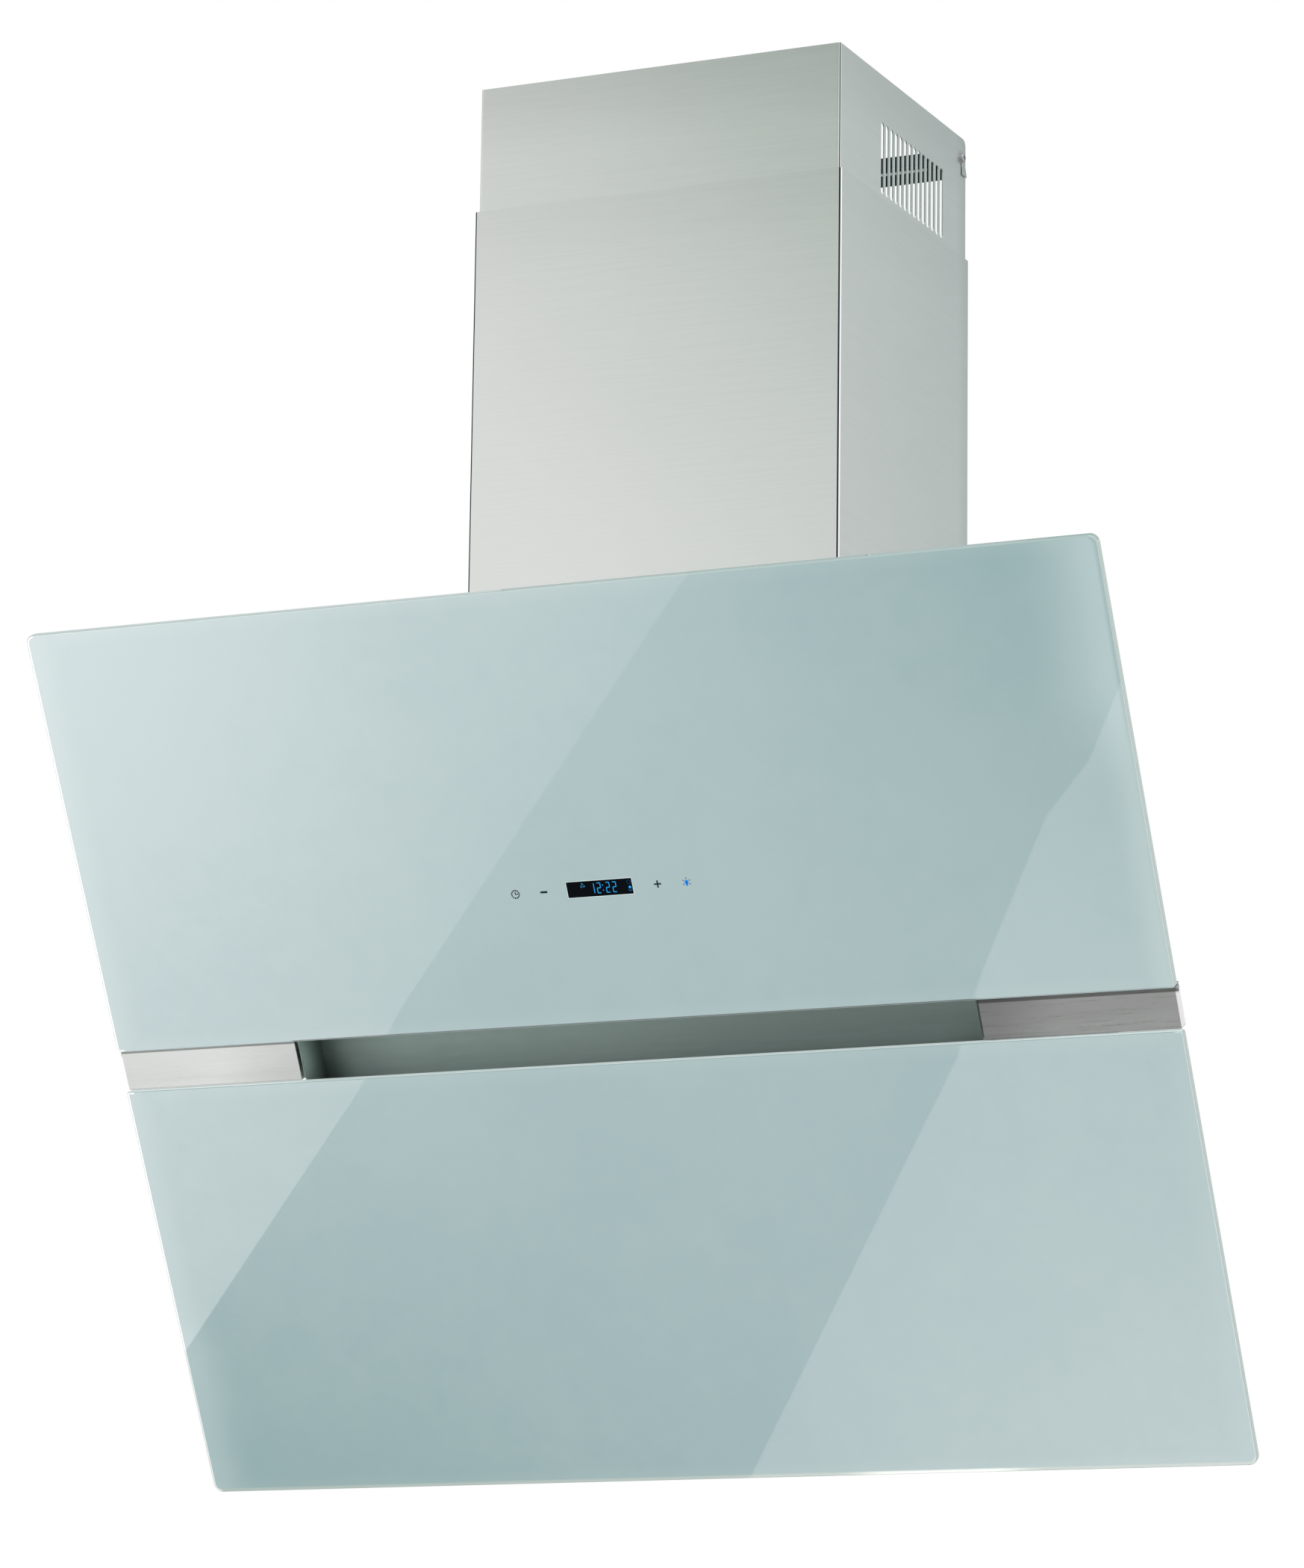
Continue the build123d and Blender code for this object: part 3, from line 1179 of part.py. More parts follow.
def upper_bracket():
    """Bracket at the top of the upper section."""
    bracket = chimney_bracket(
        UPPER_CHIMNEY_HALF - CHIMNEY_SHEET, CHIMNEY_TOP - BRACKET_DROP - BRACKET_HEIGHT
    )
    points = side_screw_points(UPPER_CHIMNEY_HALF, SIDE_SCREW_Z)
    return drill(bracket, points, (1, 0, 0), SIDE_SCREW[2] / 2)


def lower_bracket():
    """Bracket just above the roof."""
    bracket = chimney_bracket(LOWER_CHIMNEY_HALF - CHIMNEY_SHEET, LOWER_BRACKET_BOTTOM)
    points = side_screw_points(LOWER_CHIMNEY_HALF, LOWER_BRACKET_BOTTOM + BRACKET_HEIGHT / 2)
    return drill(bracket, points, (1, 0, 0), SIDE_SCREW[2] / 2)


def side_screw(half_width, z):
    """Screw with a washer under its head, in the right side of the chimney."""
    seat = (half_width, -SIDE_SCREW_SETBACK, z)
    washer = rod(seat, (1, 0, 0), WASHER_DIAMETER / 2, WASHER_THICKNESS)
    under_head = (half_width + WASHER_THICKNESS, -SIDE_SCREW_SETBACK, z)
    return washer + screw(under_head, (1, 0, 0), SIDE_SCREW)


def guide_pads():
    """Felt pads near the foot of the upper section that run inside the lower one."""
    thickness = TELESCOPE_GAP - GUIDE_CLEARANCE
    z = (UPPER_CHIMNEY_BOTTOM + GUIDE_RISE, UPPER_CHIMNEY_BOTTOM + GUIDE_RISE + GUIDE_SIZE)
    pads = []
    for y in (-GUIDE_SIZE, -UPPER_CHIMNEY_DEPTH + GUIDE_SIZE):
        side = block(
            (UPPER_CHIMNEY_HALF, UPPER_CHIMNEY_HALF + thickness), (y - GUIDE_SIZE / 2, y + GUIDE_SIZE / 2), z
        )
        pads += [side, mirrored(side)]
    front = block(
        (UPPER_CHIMNEY_HALF - 2 * GUIDE_SIZE, UPPER_CHIMNEY_HALF - GUIDE_SIZE),
        (-UPPER_CHIMNEY_DEPTH - thickness, -UPPER_CHIMNEY_DEPTH),
        z,
    )
    return Compound(pads + [front, mirrored(front)])


def all_pieces():
    """Every named piece of the hood."""
    lower_screw = side_screw(LOWER_CHIMNEY_HALF, LOWER_BRACKET_BOTTOM + BRACKET_HEIGHT / 2)
    return {
        "upper_glass": glass_panel(0, GAP_START, GLASS_CORNER_RADIUS, GLASS_SLOT_RADIUS),
        "lower_glass": glass_panel(GAP_END, SLOPE_END, GLASS_SLOT_RADIUS, GLASS_CORNER_RADIUS),
        "glass_rails": glass_rails(),
        "left_side_panel": mirrored(side_panel()),
        "right_side_panel": side_panel(),
        "roof_panel": roof_panel(),
        "floor_panel": floor_panel(),
        "back_plate": back_plate(),
        "front_plate": front_plate(),
        "cabinet_screws": cabinet_screws(),
        "slot_liner": slot_liner(),
        "left_trim": mirrored(trim()),
        "right_trim": trim(),
        "trim_brackets": trim_brackets(),
        "control_housing": control_housing(),
        "touch_board": touch_board(),
        "display_module": display_module(),
        "touch_springs": touch_springs(),
        "filter_shelf": filter_shelf(),
        "left_filter_frame": mirrored(filter_frame()),
        "right_filter_frame": filter_frame(),
        "left_filter_mesh": mirrored(filter_mesh()),
        "right_filter_mesh": filter_mesh(),
        "left_filter_latch": mirrored(filter_latch()),
        "right_filter_latch": filter_latch(),
        "door_frame": door_frame(),
        "hinge_brackets": hinge_brackets(),
        "hinge_pins": hinge_pins(),
        "door_magnets": door_magnets(),
        "left_blower_housing": mirrored(blower_housing()),
        "right_blower_housing": blower_housing(),
        "impeller": impeller(),
        "motor": motor(),
        "motor_shaft": motor_shaft(),
        "motor_bracket": motor_bracket(),
        "outlet_spigot": outlet_spigot(),
        "duct_screws": screws(duct_screw_points(ROOF_TOP + SPIGOT_BASE), (0, 0, 1), DUCT_SCREW),
        "flap_pin": flap_pin(),
        "rear_flap": rear_flap(),
        "front_flap": front_flap(),
        "wiring_box": wiring_box(),
        "wiring_cover": wiring_cover(),
        "control_board": control_board(),
        "motor_capacitor": motor_capacitor(),
        "lamp_driver": lamp_driver(),
        "cable_gland": cable_gland(),
        "lamp_housings": lamp_housings(),
        "lamp_lenses": lamp_lenses(),
        "lower_chimney": lower_chimney(),
        "upper_chimney": upper_chimney(),
        "upper_bracket": upper_bracket(),
        "lower_bracket": lower_bracket(),
        "upper_side_screws": pair(side_screw(UPPER_CHIMNEY_HALF, SIDE_SCREW_Z)),
        "lower_side_screws": pair(lower_screw),
        "guide_pads": guide_pads(),
    }


if __name__ == "__main__":
    os.makedirs("parts", exist_ok=True)
    for name, piece in all_pieces().items():
        export_step(piece, f"parts/{name}.step")
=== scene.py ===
"""Angled wall-mounted cooker hood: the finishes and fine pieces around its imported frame."""

import json
from math import ceil, pi, radians

import bmesh
import bpy
from bpy.props import FloatProperty, FloatVectorProperty, PointerProperty
from mathutils import Matrix, Vector


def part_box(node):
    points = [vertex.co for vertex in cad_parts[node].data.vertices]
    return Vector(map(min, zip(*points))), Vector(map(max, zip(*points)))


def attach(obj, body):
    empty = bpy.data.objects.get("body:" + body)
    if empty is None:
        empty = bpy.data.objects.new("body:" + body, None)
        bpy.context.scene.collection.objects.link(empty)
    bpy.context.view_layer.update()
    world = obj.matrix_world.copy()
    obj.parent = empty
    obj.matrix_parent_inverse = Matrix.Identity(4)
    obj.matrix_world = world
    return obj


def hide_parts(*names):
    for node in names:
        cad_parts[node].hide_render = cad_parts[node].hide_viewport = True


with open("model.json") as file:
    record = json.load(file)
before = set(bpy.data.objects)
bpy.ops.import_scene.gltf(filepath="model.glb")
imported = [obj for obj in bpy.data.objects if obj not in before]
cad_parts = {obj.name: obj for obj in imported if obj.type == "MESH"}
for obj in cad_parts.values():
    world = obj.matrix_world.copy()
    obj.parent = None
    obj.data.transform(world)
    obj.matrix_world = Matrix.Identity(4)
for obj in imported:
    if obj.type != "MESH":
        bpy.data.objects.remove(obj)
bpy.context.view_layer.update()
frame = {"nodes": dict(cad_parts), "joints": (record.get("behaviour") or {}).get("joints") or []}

bl_info = {
    "name": "Angled Cooker Hood",
    "version": (1, 0, 0),
    "blender": (4, 5, 0),
    "location": "View3D > Sidebar > Hood",
    "description": "Finishes and fine pieces of an angled wall-mounted cooker hood",
    "category": "Object",
}

ACROSS = Vector((1.0, 0.0, 0.0))
MARK_DEPTH = 0.00004  # one printed or lit layer on the glass
PRINTED, WINDOW, LIT = 1.0, 2.0, 3.0  # order of the layers in front of the glass


# The sloping front


def joint_named(name):
    """The frame's joint of that name."""
    return next(joint for joint in frame["joints"] if joint["name"] == name)


def slope_frame():
    """The sloping front's own frame: across, down the slope and inwards from the glass face."""
    down = Vector(joint_named("left_latch_slide")["axis"]).normalized()
    inward = ACROSS.cross(down)
    points = [v.co for v in frame["nodes"]["upper_glass"].data.vertices]
    top = min(p.dot(down) for p in points)
    face = min(p.dot(inward) for p in points)
    matrix = Matrix((ACROSS, down, inward)).transposed().to_4x4()
    matrix.translation = down * top + inward * face
    return matrix


SLOPE = slope_frame()


def slope_box(node):
    """Lowest and highest corners of a CAD node in the slope's frame."""
    back = SLOPE.inverted()
    points = [back @ v.co for v in frame["nodes"][node].data.vertices]
    low = Vector([min(p[i] for p in points) for i in range(3)])
    high = Vector([max(p[i] for p in points) for i in range(3)])
    return low, high


# Materials


class Finish:
    """One material, built node by node in front of its Principled shader."""

    def __init__(self, name, constants):
        self.material = bpy.data.materials.new(name)
        self.material.use_nodes = True
        self.tree = self.material.node_tree
        self.shader = self.tree.nodes["Principled BSDF"]
        for socket, value in constants.items():
            self.shader.inputs[socket].default_value = value
        self.object_coordinates = self.node("ShaderNodeTexCoord").outputs["Object"]

    def node(self, kind, **settings):
        """A new node with its settings."""
        made = self.tree.nodes.new(kind)
        for name, value in settings.items():
            setattr(made, name, value)
        return made

    def feed(self, socket, value):
        """Links a socket to another, or gives it a plain value."""
        if isinstance(value, bpy.types.NodeSocket):
            self.tree.links.new(value, socket)
        else:
            socket.default_value = value

    def set(self, socket, value):
        """Feeds one of the shader's own sockets."""
        self.feed(self.shader.inputs[socket], value)

    def scaled(self, scale):
        """Object coordinates stretched by a scale for each axis."""
        mapping = self.node("ShaderNodeMapping")
        self.feed(mapping.inputs["Vector"], self.object_coordinates)
        mapping.inputs["Scale"].default_value = scale
        return mapping.outputs["Vector"]

    def on_slope(self, scale=(1.0, 1.0, 1.0)):
        """Coordinates across, down and into the sloping front."""
        mapping = self.node("ShaderNodeMapping", vector_type="TEXTURE")
        self.feed(mapping.inputs["Vector"], self.object_coordinates)
        mapping.inputs["Location"].default_value = SLOPE.translation
        mapping.inputs["Rotation"].default_value = SLOPE.to_euler()
        mapping.inputs["Scale"].default_value = [1.0 / s for s in scale]
        return mapping.outputs["Vector"]

    def parts(self, vector):
        """The three numbers of a vector."""
        node = self.node("ShaderNodeSeparateXYZ")
        self.feed(node.inputs[0], vector)
        return node.outputs

    def noise(self, scale, detail=2.0, roughness=0.5, stretch=None):
        """Soft noise from 0 to 1, with a further scale for each axis if it is stretched."""
        node = self.node("ShaderNodeTexNoise")
        coordinates = self.scaled(stretch) if stretch else self.object_coordinates
        self.feed(node.inputs["Vector"], coordinates)
        node.inputs["Scale"].default_value = scale
        node.inputs["Detail"].default_value = detail
        node.inputs["Roughness"].default_value = roughness
        return node.outputs["Fac"]

    def cells(self, scale, feature="F1", output="Distance"):
        """Cell noise: distance to, or colour of, the nearest point."""
        node = self.node("ShaderNodeTexVoronoi", feature=feature)
        self.feed(node.inputs["Vector"], self.object_coordinates)
        node.inputs["Scale"].default_value = scale
        return node.outputs[output]

    def math(self, operation, *values):
        """One arithmetic step."""
        node = self.node("ShaderNodeMath", operation=operation)
        for socket, value in zip(node.inputs, values):
            self.feed(socket, value)
        return node.outputs[0]

    def plus(self, first, second):
        """A sum."""
        return self.math("ADD", first, second)

    def minus(self, first, second):
        """A difference."""
        return self.math("SUBTRACT", first, second)

    def times(self, first, second):
        """A product."""
        return self.math("MULTIPLY", first, second)

    def absolute(self, value):
        """A value without its sign."""
        return self.math("ABSOLUTE", value)

    def mixed(self, first, second, share):
        """A share of the first value and the rest of the second."""
        return self.math("MULTIPLY_ADD", first, share, self.times(second, 1.0 - share))

    def band(self, value, start, end, low=0.0, high=1.0):
        """A soft step from low to high as the value goes from start to end."""
        node = self.node("ShaderNodeMapRange", interpolation_type="SMOOTHSTEP")
        names = ("Value", "From Min", "From Max", "To Min", "To Max")
        for socket, number in zip(names, (value, start, end, low, high)):
            self.feed(node.inputs[socket], number)
        return node.outputs["Result"]

    def fall(self, value, start, end):
        """A soft step from one to nought as the value goes from start to end."""
        return self.band(value, start, end, 1.0, 0.0)

    def blend(self, factor, first, second):
        """A colour between two colours."""
        node = self.node("ShaderNodeMix", data_type="RGBA")
        self.feed(node.inputs["Factor"], factor)
        for socket, value in ((node.inputs[6], first), (node.inputs[7], second)):
            self.feed(socket, value if isinstance(value, bpy.types.NodeSocket) else (*value, 1.0))
        return node.outputs[2]

    def mottle(self, factor, colour, dark, light):
        """Gives the base a darker and a lighter shade of one colour."""
        self.colour = self.blend(factor, shade(colour, dark), shade(colour, light))
        self.set("Base Color", self.colour)

    def tint(self, mask, colour):
        """Lays a colour over the base, as far as the mask goes."""
        self.colour = self.blend(mask, self.colour, colour)
        self.set("Base Color", self.colour)

    def relight(self, value, start, end, low, high):
        """Makes the base darker or lighter, by a level that goes from low to high along a value."""
        node = self.node("ShaderNodeVectorMath", operation="SCALE")
        self.feed(node.inputs[0], self.colour)
        self.feed(node.inputs["Scale"], self.band(value, start, end, low, high))
        self.colour = node.outputs[0]
        self.set("Base Color", self.colour)

    def roughen(self, value, start, end, low, high):
        """Roughness that goes from low to high along a value."""
        self.set("Roughness", self.band(value, start, end, low, high))

    def bump(self, height, depth, strength=1.0):
        """Relief of a height map of that depth in metres."""
        node = self.node("ShaderNodeBump")
        self.feed(node.inputs["Height"], height)
        node.inputs["Distance"].default_value = depth
        node.inputs["Strength"].default_value = strength
        self.set("Normal", node.outputs["Normal"])


def shade(colour, factor):
    """A colour made lighter or darker."""
    return tuple(min(1.0, c * factor) for c in colour)


def dress(finish, *nodes):
    """Gives CAD nodes a finish."""
    for name in nodes:
        for holder in frame["nodes"][name].material_slots:
            holder.material = finish.material


def brushed_metal(name, colour, roughness, grain, contrast=0.06, metallic=1.0):
    """Metal with fine horizontal brushing and a faint uneven sheen."""
    constants = {"Metallic": metallic, "Anisotropic": 0.5, "Anisotropic Rotation": 0.25}
    finish = Finish(name, constants)
    tangent = finish.node("ShaderNodeTangent", direction_type="RADIAL", axis="Z")
    finish.set("Tangent", tangent.outputs[0])
    fine = finish.noise(3.0, 3.0, 0.6, (6.0, 6.0, grain))
    coarse = finish.noise(4.0, 2.0, 0.6, (4.0, 4.0, grain / 5))
    streaks = finish.mixed(fine, coarse, 0.5)
    clouds = finish.noise(5.0, 3.0)
    tone = finish.band(finish.mixed(streaks, clouds, 0.7), 0.3, 0.7)
    finish.mottle(tone, colour, 1 - contrast, 1 + contrast)
    finish.roughen(streaks, 0.2, 0.8, roughness - 0.05, roughness + 0.05)
    finish.bump(streaks, 0.00002, 0.25)
    return finish


def sheet_metal(name, colour):
    """Zinc plated sheet with a faint spangle."""
    finish = Finish(name, {"Metallic": 0.85})
    flakes = finish.cells(60.0, output="Color")
    clouds = finish.noise(14.0, 4.0)
    tone = finish.mixed(finish.parts(flakes)[0], clouds, 0.35)
    finish.mottle(tone, colour, 0.86, 1.1)
    finish.roughen(tone, 0.2, 0.8, 0.34, 0.52)
    finish.bump(clouds, 0.00003, 0.4)
    return finish


def powder_coat(name, colour, roughness=0.5, shine=0.45):
    """Powder coat with its fine orange peel and a little unevenness."""
    finish = Finish(name, {"Specular IOR Level": shine})
    peel = finish.noise(900.0, 2.0)
    clouds = finish.noise(6.0, 4.0)
    finish.mottle(clouds, colour, 0.93, 1.06)
    finish.roughen(peel, 0.2, 0.8, roughness - 0.07, roughness + 0.07)
    finish.bump(peel, 0.00004, 0.5)
    return finish


def moulded_plastic(name, colour, roughness=0.5, grain=1400.0, relief=0.00003):
    """Moulded plastic with a fine eroded grain and faint flow marks."""
    finish = Finish(name, {"Specular IOR Level": 0.45})
    pits = finish.noise(grain, 3.0)
    flow = finish.noise(9.0, 3.0, stretch=(1.0, 1.0, 4.0))
    finish.mottle(flow, colour, 0.88, 1.12)
    finish.roughen(pits, 0.25, 0.75, roughness - 0.08, roughness + 0.08)
    finish.bump(pits, relief, 0.5)
    return finish


def bright_plate(name, colour, roughness=0.22):
    """Bright plated steel with small handling marks."""
    finish = Finish(name, {"Metallic": 1.0})
    marks = finish.noise(160.0, 4.0, 0.7)
    finish.mottle(marks, colour, 0.85, 1.08)
    finish.roughen(marks, 0.3, 0.7, roughness - 0.06, roughness + 0.1)
    finish.bump(marks, 0.00001, 0.3)
    return finish


# Shapes


def add_object(name, data):
    """A new object of the scene."""
    made = bpy.data.objects.new(name, data)
    bpy.context.scene.collection.objects.link(made)
    return made


def add_mesh(name, bm, finish):
    """A new object with a bmesh and a finish."""
    mesh = bpy.data.meshes.new(name)
    bm.to_mesh(mesh)
    bm.free()
    mesh.materials.append(finish.material)
    return add_object(name, mesh)


def put_in_order(elements, place):
    """Numbers the vertices or faces of a mesh by their places, so each run gives them in the same
    order.
    """
    for index, element in enumerate(sorted(elements, key=lambda element: tuple(place(element)))):
        element.index = index
    elements.sort()


def settle(name, build, values, finish, body, smooth=False):
    """Makes a piece with a build function and its values, and lets it ride on a body."""
    bm = bmesh.new()
    build(bm, *values)
    bmesh.ops.remove_doubles(bm, verts=bm.verts, dist=0.000001)
    bmesh.ops.recalc_face_normals(bm, faces=bm.faces)
    put_in_order(bm.verts, lambda vert: vert.co)
    put_in_order(bm.faces, lambda face: face.calc_center_median())
    for face in bm.faces:
        face.smooth = smooth
    piece = add_mesh(name, bm, finish)
    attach(piece, body)
    return piece


def on_glass(x, u, layer=PRINTED, turn=0.0):
    """Placement of a mark on the glass face, its Z axis pointing into the glass."""
    spot = Matrix.Translation((x, u, -layer * MARK_DEPTH))
    return SLOPE @ spot @ Matrix.Rotation(turn, 4, "Z")


def add_bar(bm, place, width, height):
    """A flat bar in one layer of marks, centred on a placement."""
    size = Matrix.Diagonal((width, height, MARK_DEPTH, 1.0))
    bmesh.ops.create_cube(bm, size=1.0, matrix=place @ size)


def add_disc(bm, place, radius, segments=32):
    """A flat disc in one layer of marks, centred on a placement."""
    bmesh.ops.create_cone(
        bm,
        cap_ends=True,
        segments=segments,
        radius1=radius,
        radius2=radius,
        depth=MARK_DEPTH,
        matrix=place,
    )


def linked(verts):
    """Vertices with the edges and faces that use them, each once and in the same order each run."""
    edges = dict.fromkeys(edge for vert in verts for edge in vert.link_edges)
    faces = dict.fromkeys(face for vert in verts for face in vert.link_faces)
    return [*verts, *edges, *faces]


def sweep(bm, section, centre, axis, angle, steps, rise=(0.0, 0.0, 0.0)):
    """Sweeps a section round an axis, and further by a rise at each step."""
    bmesh.ops.spin(
        bm,
        geom=section,
        cent=centre,
        axis=axis,
        dvec=rise,
        angle=angle,
        steps=steps,
        use_merge=False,
        use_normal_flip=False,
        use_duplicate=False,
    )


def add_arc(bm, place, inner, outer, angle, steps):
    """A part of a flat ring in one layer of marks, round the Z axis of a placement."""
    section = Matrix.Translation(((inner + outer) / 2, 0.0, 0.0)) @ Matrix.Rotation(pi / 2, 4, "X")
    section = section @ Matrix.Diagonal((outer - inner, MARK_DEPTH, 1.0, 1.0))
    made = bmesh.ops.create_grid(bm, x_segments=1, y_segments=1, size=0.5, matrix=place @ section)
    axis = place.to_3x3() @ Vector((0.0, 0.0, 1.0))
    sweep(bm, linked(made["verts"]), place.translation, axis, angle, steps)


# Settings


def colour_setting(name, description, default):
    """A colour."""
    return FloatVectorProperty(name=name, description=description, subtype="COLOR", default=default)


def length_setting(name, description, default, least=-10.0):
    """A length or a place, in metres."""
    return FloatProperty(name=name, description=description, unit="LENGTH", default=default, min=least)


def level_setting(name, description, default):
    """A plain number from nought up."""
    return FloatProperty(name=name, description=description, default=default, min=0.0)


def power_setting(name, description, default):
    """The power of a lamp, in watts."""
    return FloatProperty(name=name, description=description, unit="POWER", default=default, min=0.0)


def corner_setting(name, description, default):
    """Levels at the top left, top right, bottom left and bottom right corner of a card."""
    return FloatVectorProperty(name=name, description=description, size=4, default=default)


class GlassSettings(bpy.types.PropertyGroup):
    """Paint, edges, and painted light and shade of the two glass panels."""

    paint: colour_setting("Paint", "Paint behind the glass", (0.265, 0.393, 0.402))
    paint_cloud: colour_setting("Paint cloud", "Lighter clouds in the paint", (0.295, 0.418, 0.422))
    # The rim and the corner colour are painted light: paint drawn lighter near the edges and at two
    # corners.
    rim: colour_setting("Rim", "Paint near the edges", (0.36, 0.48, 0.48))
    painted_corner_light: colour_setting("Bright rim", "Paint at two of the corners", (0.45, 0.575, 0.58))
    # The lines, the glint and the shade below are painted highlights and painted shade along the edges.
    left_highlight: colour_setting("Left line", "Light line along the left edge", (0.8, 0.85, 0.84))
    right_highlight: colour_setting("Right line", "Light line along the right edge", (0.5, 0.62, 0.6))
    right_shade: colour_setting("Right shade", "Shade beside the right line", (0.34, 0.46, 0.455))
    top_highlight: colour_setting("Top line", "Light line along the top edge", (0.4, 0.51, 0.49))
    bottom_highlight: colour_setting("Bottom line", "Light line along the bottom edge", (0.43, 0.51, 0.47))
    bottom_glint: colour_setting("Bottom glint", "Bright stretch of the bottom line", (0.85, 0.9, 0.84))
    # Painted shade on the bevel above the air slot.
    lip_shade: colour_setting("Lip", "Dark bevel above the air slot", (0.07, 0.1, 0.095))
    # Painted shade along the outermost left edge.
    outline: colour_setting("Outline", "Dark hairline at the outermost edge", (0.13, 0.15, 0.16))
    edge: colour_setting("Edge", "Ground edge of the glass", (0.4, 0.5, 0.49))
    side_edge: colour_setting("Side edge", "Ground edge at the left and right", (0.58, 0.7, 0.66))
    # Painted light: the ground edge below the air slot, drawn pale as if lit through the glass.
    painted_slot_edge_light: colour_setting("Slot edge", "Ground edge below the air slot", (0.9, 0.98, 0.96))
    back: colour_setting("Back", "Back of the paint", (0.4, 0.5, 0.5))
    # Painted light: a glow out of the edges beside the slot, though they are no lamp.
    painted_edge_glow: level_setting("Edge glow", "Light out of the edges beside the slot", 0.3)
    rim_width: length_setting("Rim width", "Width of the lighter zone along the edges", 0.03, 0.001)
    gloss: level_setting("Gloss", "Roughness of the glass face", 0.015)


class SteelSettings(bpy.types.PropertyGroup):
    """Brushed steel of the chimney, the trims and the slot."""

    chimney: colour_setting("Chimney", "Brushed steel of both chimney sections", (0.7, 0.745, 0.715))
    trim: colour_setting("Trim", "Brushed steel of the end trims", (0.84, 0.855, 0.84))
    # Darker than the chimney's steel: painted shade of the slot.
    slot: colour_setting("Slot", "Steel inside the air slot", (0.355, 0.45, 0.42))
    fold_shade: colour_setting("Fold shade", "Dark side of the chimney's folds", (0.035, 0.04, 0.055))
    bend: length_setting("Bend", "Outer radius of the chimney's folds", 0.002)
    grain: level_setting("Grain", "Fineness of the brushing, in lines per metre", 700.0)


class FilterSettings(bpy.types.PropertyGroup):
    """Expanded metal of the grease filters."""

    diamond_width: length_setting("Diamond width", "Width of one opening", 0.012, 0.002)
    diamond_height: length_setting("Diamond height", "Height of one opening", 0.0056, 0.001)
    strand: length_setting("Strand", "Width of one strand", 0.0011, 0.0002)
    sheet: length_setting("Sheet", "Thickness of the metal", 0.0005, 0.0001)
    grip: length_setting("Grip", "Reach of the strands into the cassette", 0.002)
    block_width: length_setting("Block width", "Width of the latch block", 0.06)
    block_height: length_setting("Block height", "Reach of the latch block into the opening", 0.026)
    alloy: colour_setting("Alloy", "Aluminium strands", (0.6, 0.61, 0.62))
    shadow: colour_setting("Shadow", "Depth of the filter pack", (0.045, 0.047, 0.05))


class BodySettings(bpy.types.PropertyGroup):
    """Sheet metal behind the glass."""

    coat: colour_setting("Coat", "Powder coat of the body", (0.36, 0.385, 0.39))
    zinc: colour_setting("Zinc", "Zinc plated brackets and plates", (0.5, 0.51, 0.52))


class ControlSettings(bpy.types.PropertyGroup):
    """Touch keys and display on the upper glass."""

    row: length_setting("Row", "Distance of the keys from the top edge of the glass", 0.241)
    timer: length_setting("Timer", "Timer key across", -0.0709)
    minus: length_setting("Minus", "Minus key across", -0.04655)
    plus: length_setting("Plus", "Plus key across", 0.0497)
    lamp: length_setting("Lamp", "Lamp key across", 0.074)
    window_width: length_setting("Window width", "Width of the display window", 0.0552)
    window_height: length_setting("Window height", "Height of the display window", 0.0127)
    digit_height: length_setting("Digit height", "Height of the display's digits", 0.0086)
    ink: colour_setting("Ink", "Printed keys", (0.006, 0.018, 0.028))
    light: colour_setting("Light", "Lit digits", (0.02, 0.36, 0.82))


class StageSettings(bpy.types.PropertyGroup):
    """Floor, lamps, cards and camera."""

    floor_height: length_setting("Floor height", "Floor below the wall fixings", -1.9)
    key_power: power_setting("Key lamp", "Power of the key lamp", 60.0)
    fill_power: power_setting("Fill lamp", "Power of the fill lamp", 40.0)
    top_power: power_setting("Top lamp", "Power of the top lamp", 25.0)
    world_level: level_setting("World", "Light of the surroundings", 0.6)
    card_distance: length_setting("Card distance", "Cards in front of the glass", 1.2)
    card_tint: colour_setting("Card tint", "Colour of the cards' light", (1.0, 0.89, 0.9))
    left_glow: corner_setting("Left glow", "Levels of the left card", (0.9, 1.1, 4.3, -3.2))
    middle_glow: corner_setting("Middle glow", "Levels of the middle card", (6.9, -0.5, -0.3, 3.5))
    right_glow: corner_setting("Right glow", "Levels of the right card", (0.4, 1.6, 1.9, 1.9))


# Glass

CORNER = 0.007  # radius of the outer corners of a panel
SLOT_CORNER = 0.0025  # radius of the corners beside the air slot
ROUND = 0.0003  # how far the ground edges are rounded


class Panel:
    """Where a shaded point lies on one glass panel: its distances to the edges and the outline."""

    def __init__(self, finish, node, upper):
        low, high = slope_box(node)
        half_width = (high.x - low.x) / 2
        half_height = (high.y - low.y) / 2
        middle = (low.y + high.y) / 2
        self.upper = upper
        self.thickness = high.z
        self.x, u, self.w = finish.parts(finish.on_slope())
        self.slot_side = finish.math("GREATER_THAN" if upper else "LESS_THAN", u, middle)
        self.to_left = finish.plus(self.x, half_width)
        self.to_right = finish.minus(half_width, self.x)
        self.to_top = finish.minus(u, low.y)
        self.to_bottom = finish.minus(high.y, u)
        self.to_side = finish.minus(half_width, finish.absolute(self.x))
        self.to_end = finish.minus(half_height, finish.absolute(finish.minus(u, middle)))
        self.inset = self.rounded_inset(finish)

    def rounded_inset(self, finish):
        """Distance to the outline with its round corners."""
        corner = finish.math("MULTIPLY_ADD", self.slot_side, SLOT_CORNER - CORNER, CORNER)
        across = finish.minus(corner, self.to_side)
        along = finish.minus(corner, self.to_end)
        pair = finish.node("ShaderNodeCombineXYZ")
        finish.feed(pair.inputs[0], finish.math("MAXIMUM", across, 0.0))
        finish.feed(pair.inputs[1], finish.math("MAXIMUM", along, 0.0))
        length = finish.node("ShaderNodeVectorMath", operation="LENGTH")
        finish.feed(length.inputs[0], pair.outputs[0])
        deep = finish.math("MINIMUM", finish.math("MAXIMUM", across, along), 0.0)
        return finish.minus(corner, finish.plus(length.outputs["Value"], deep))


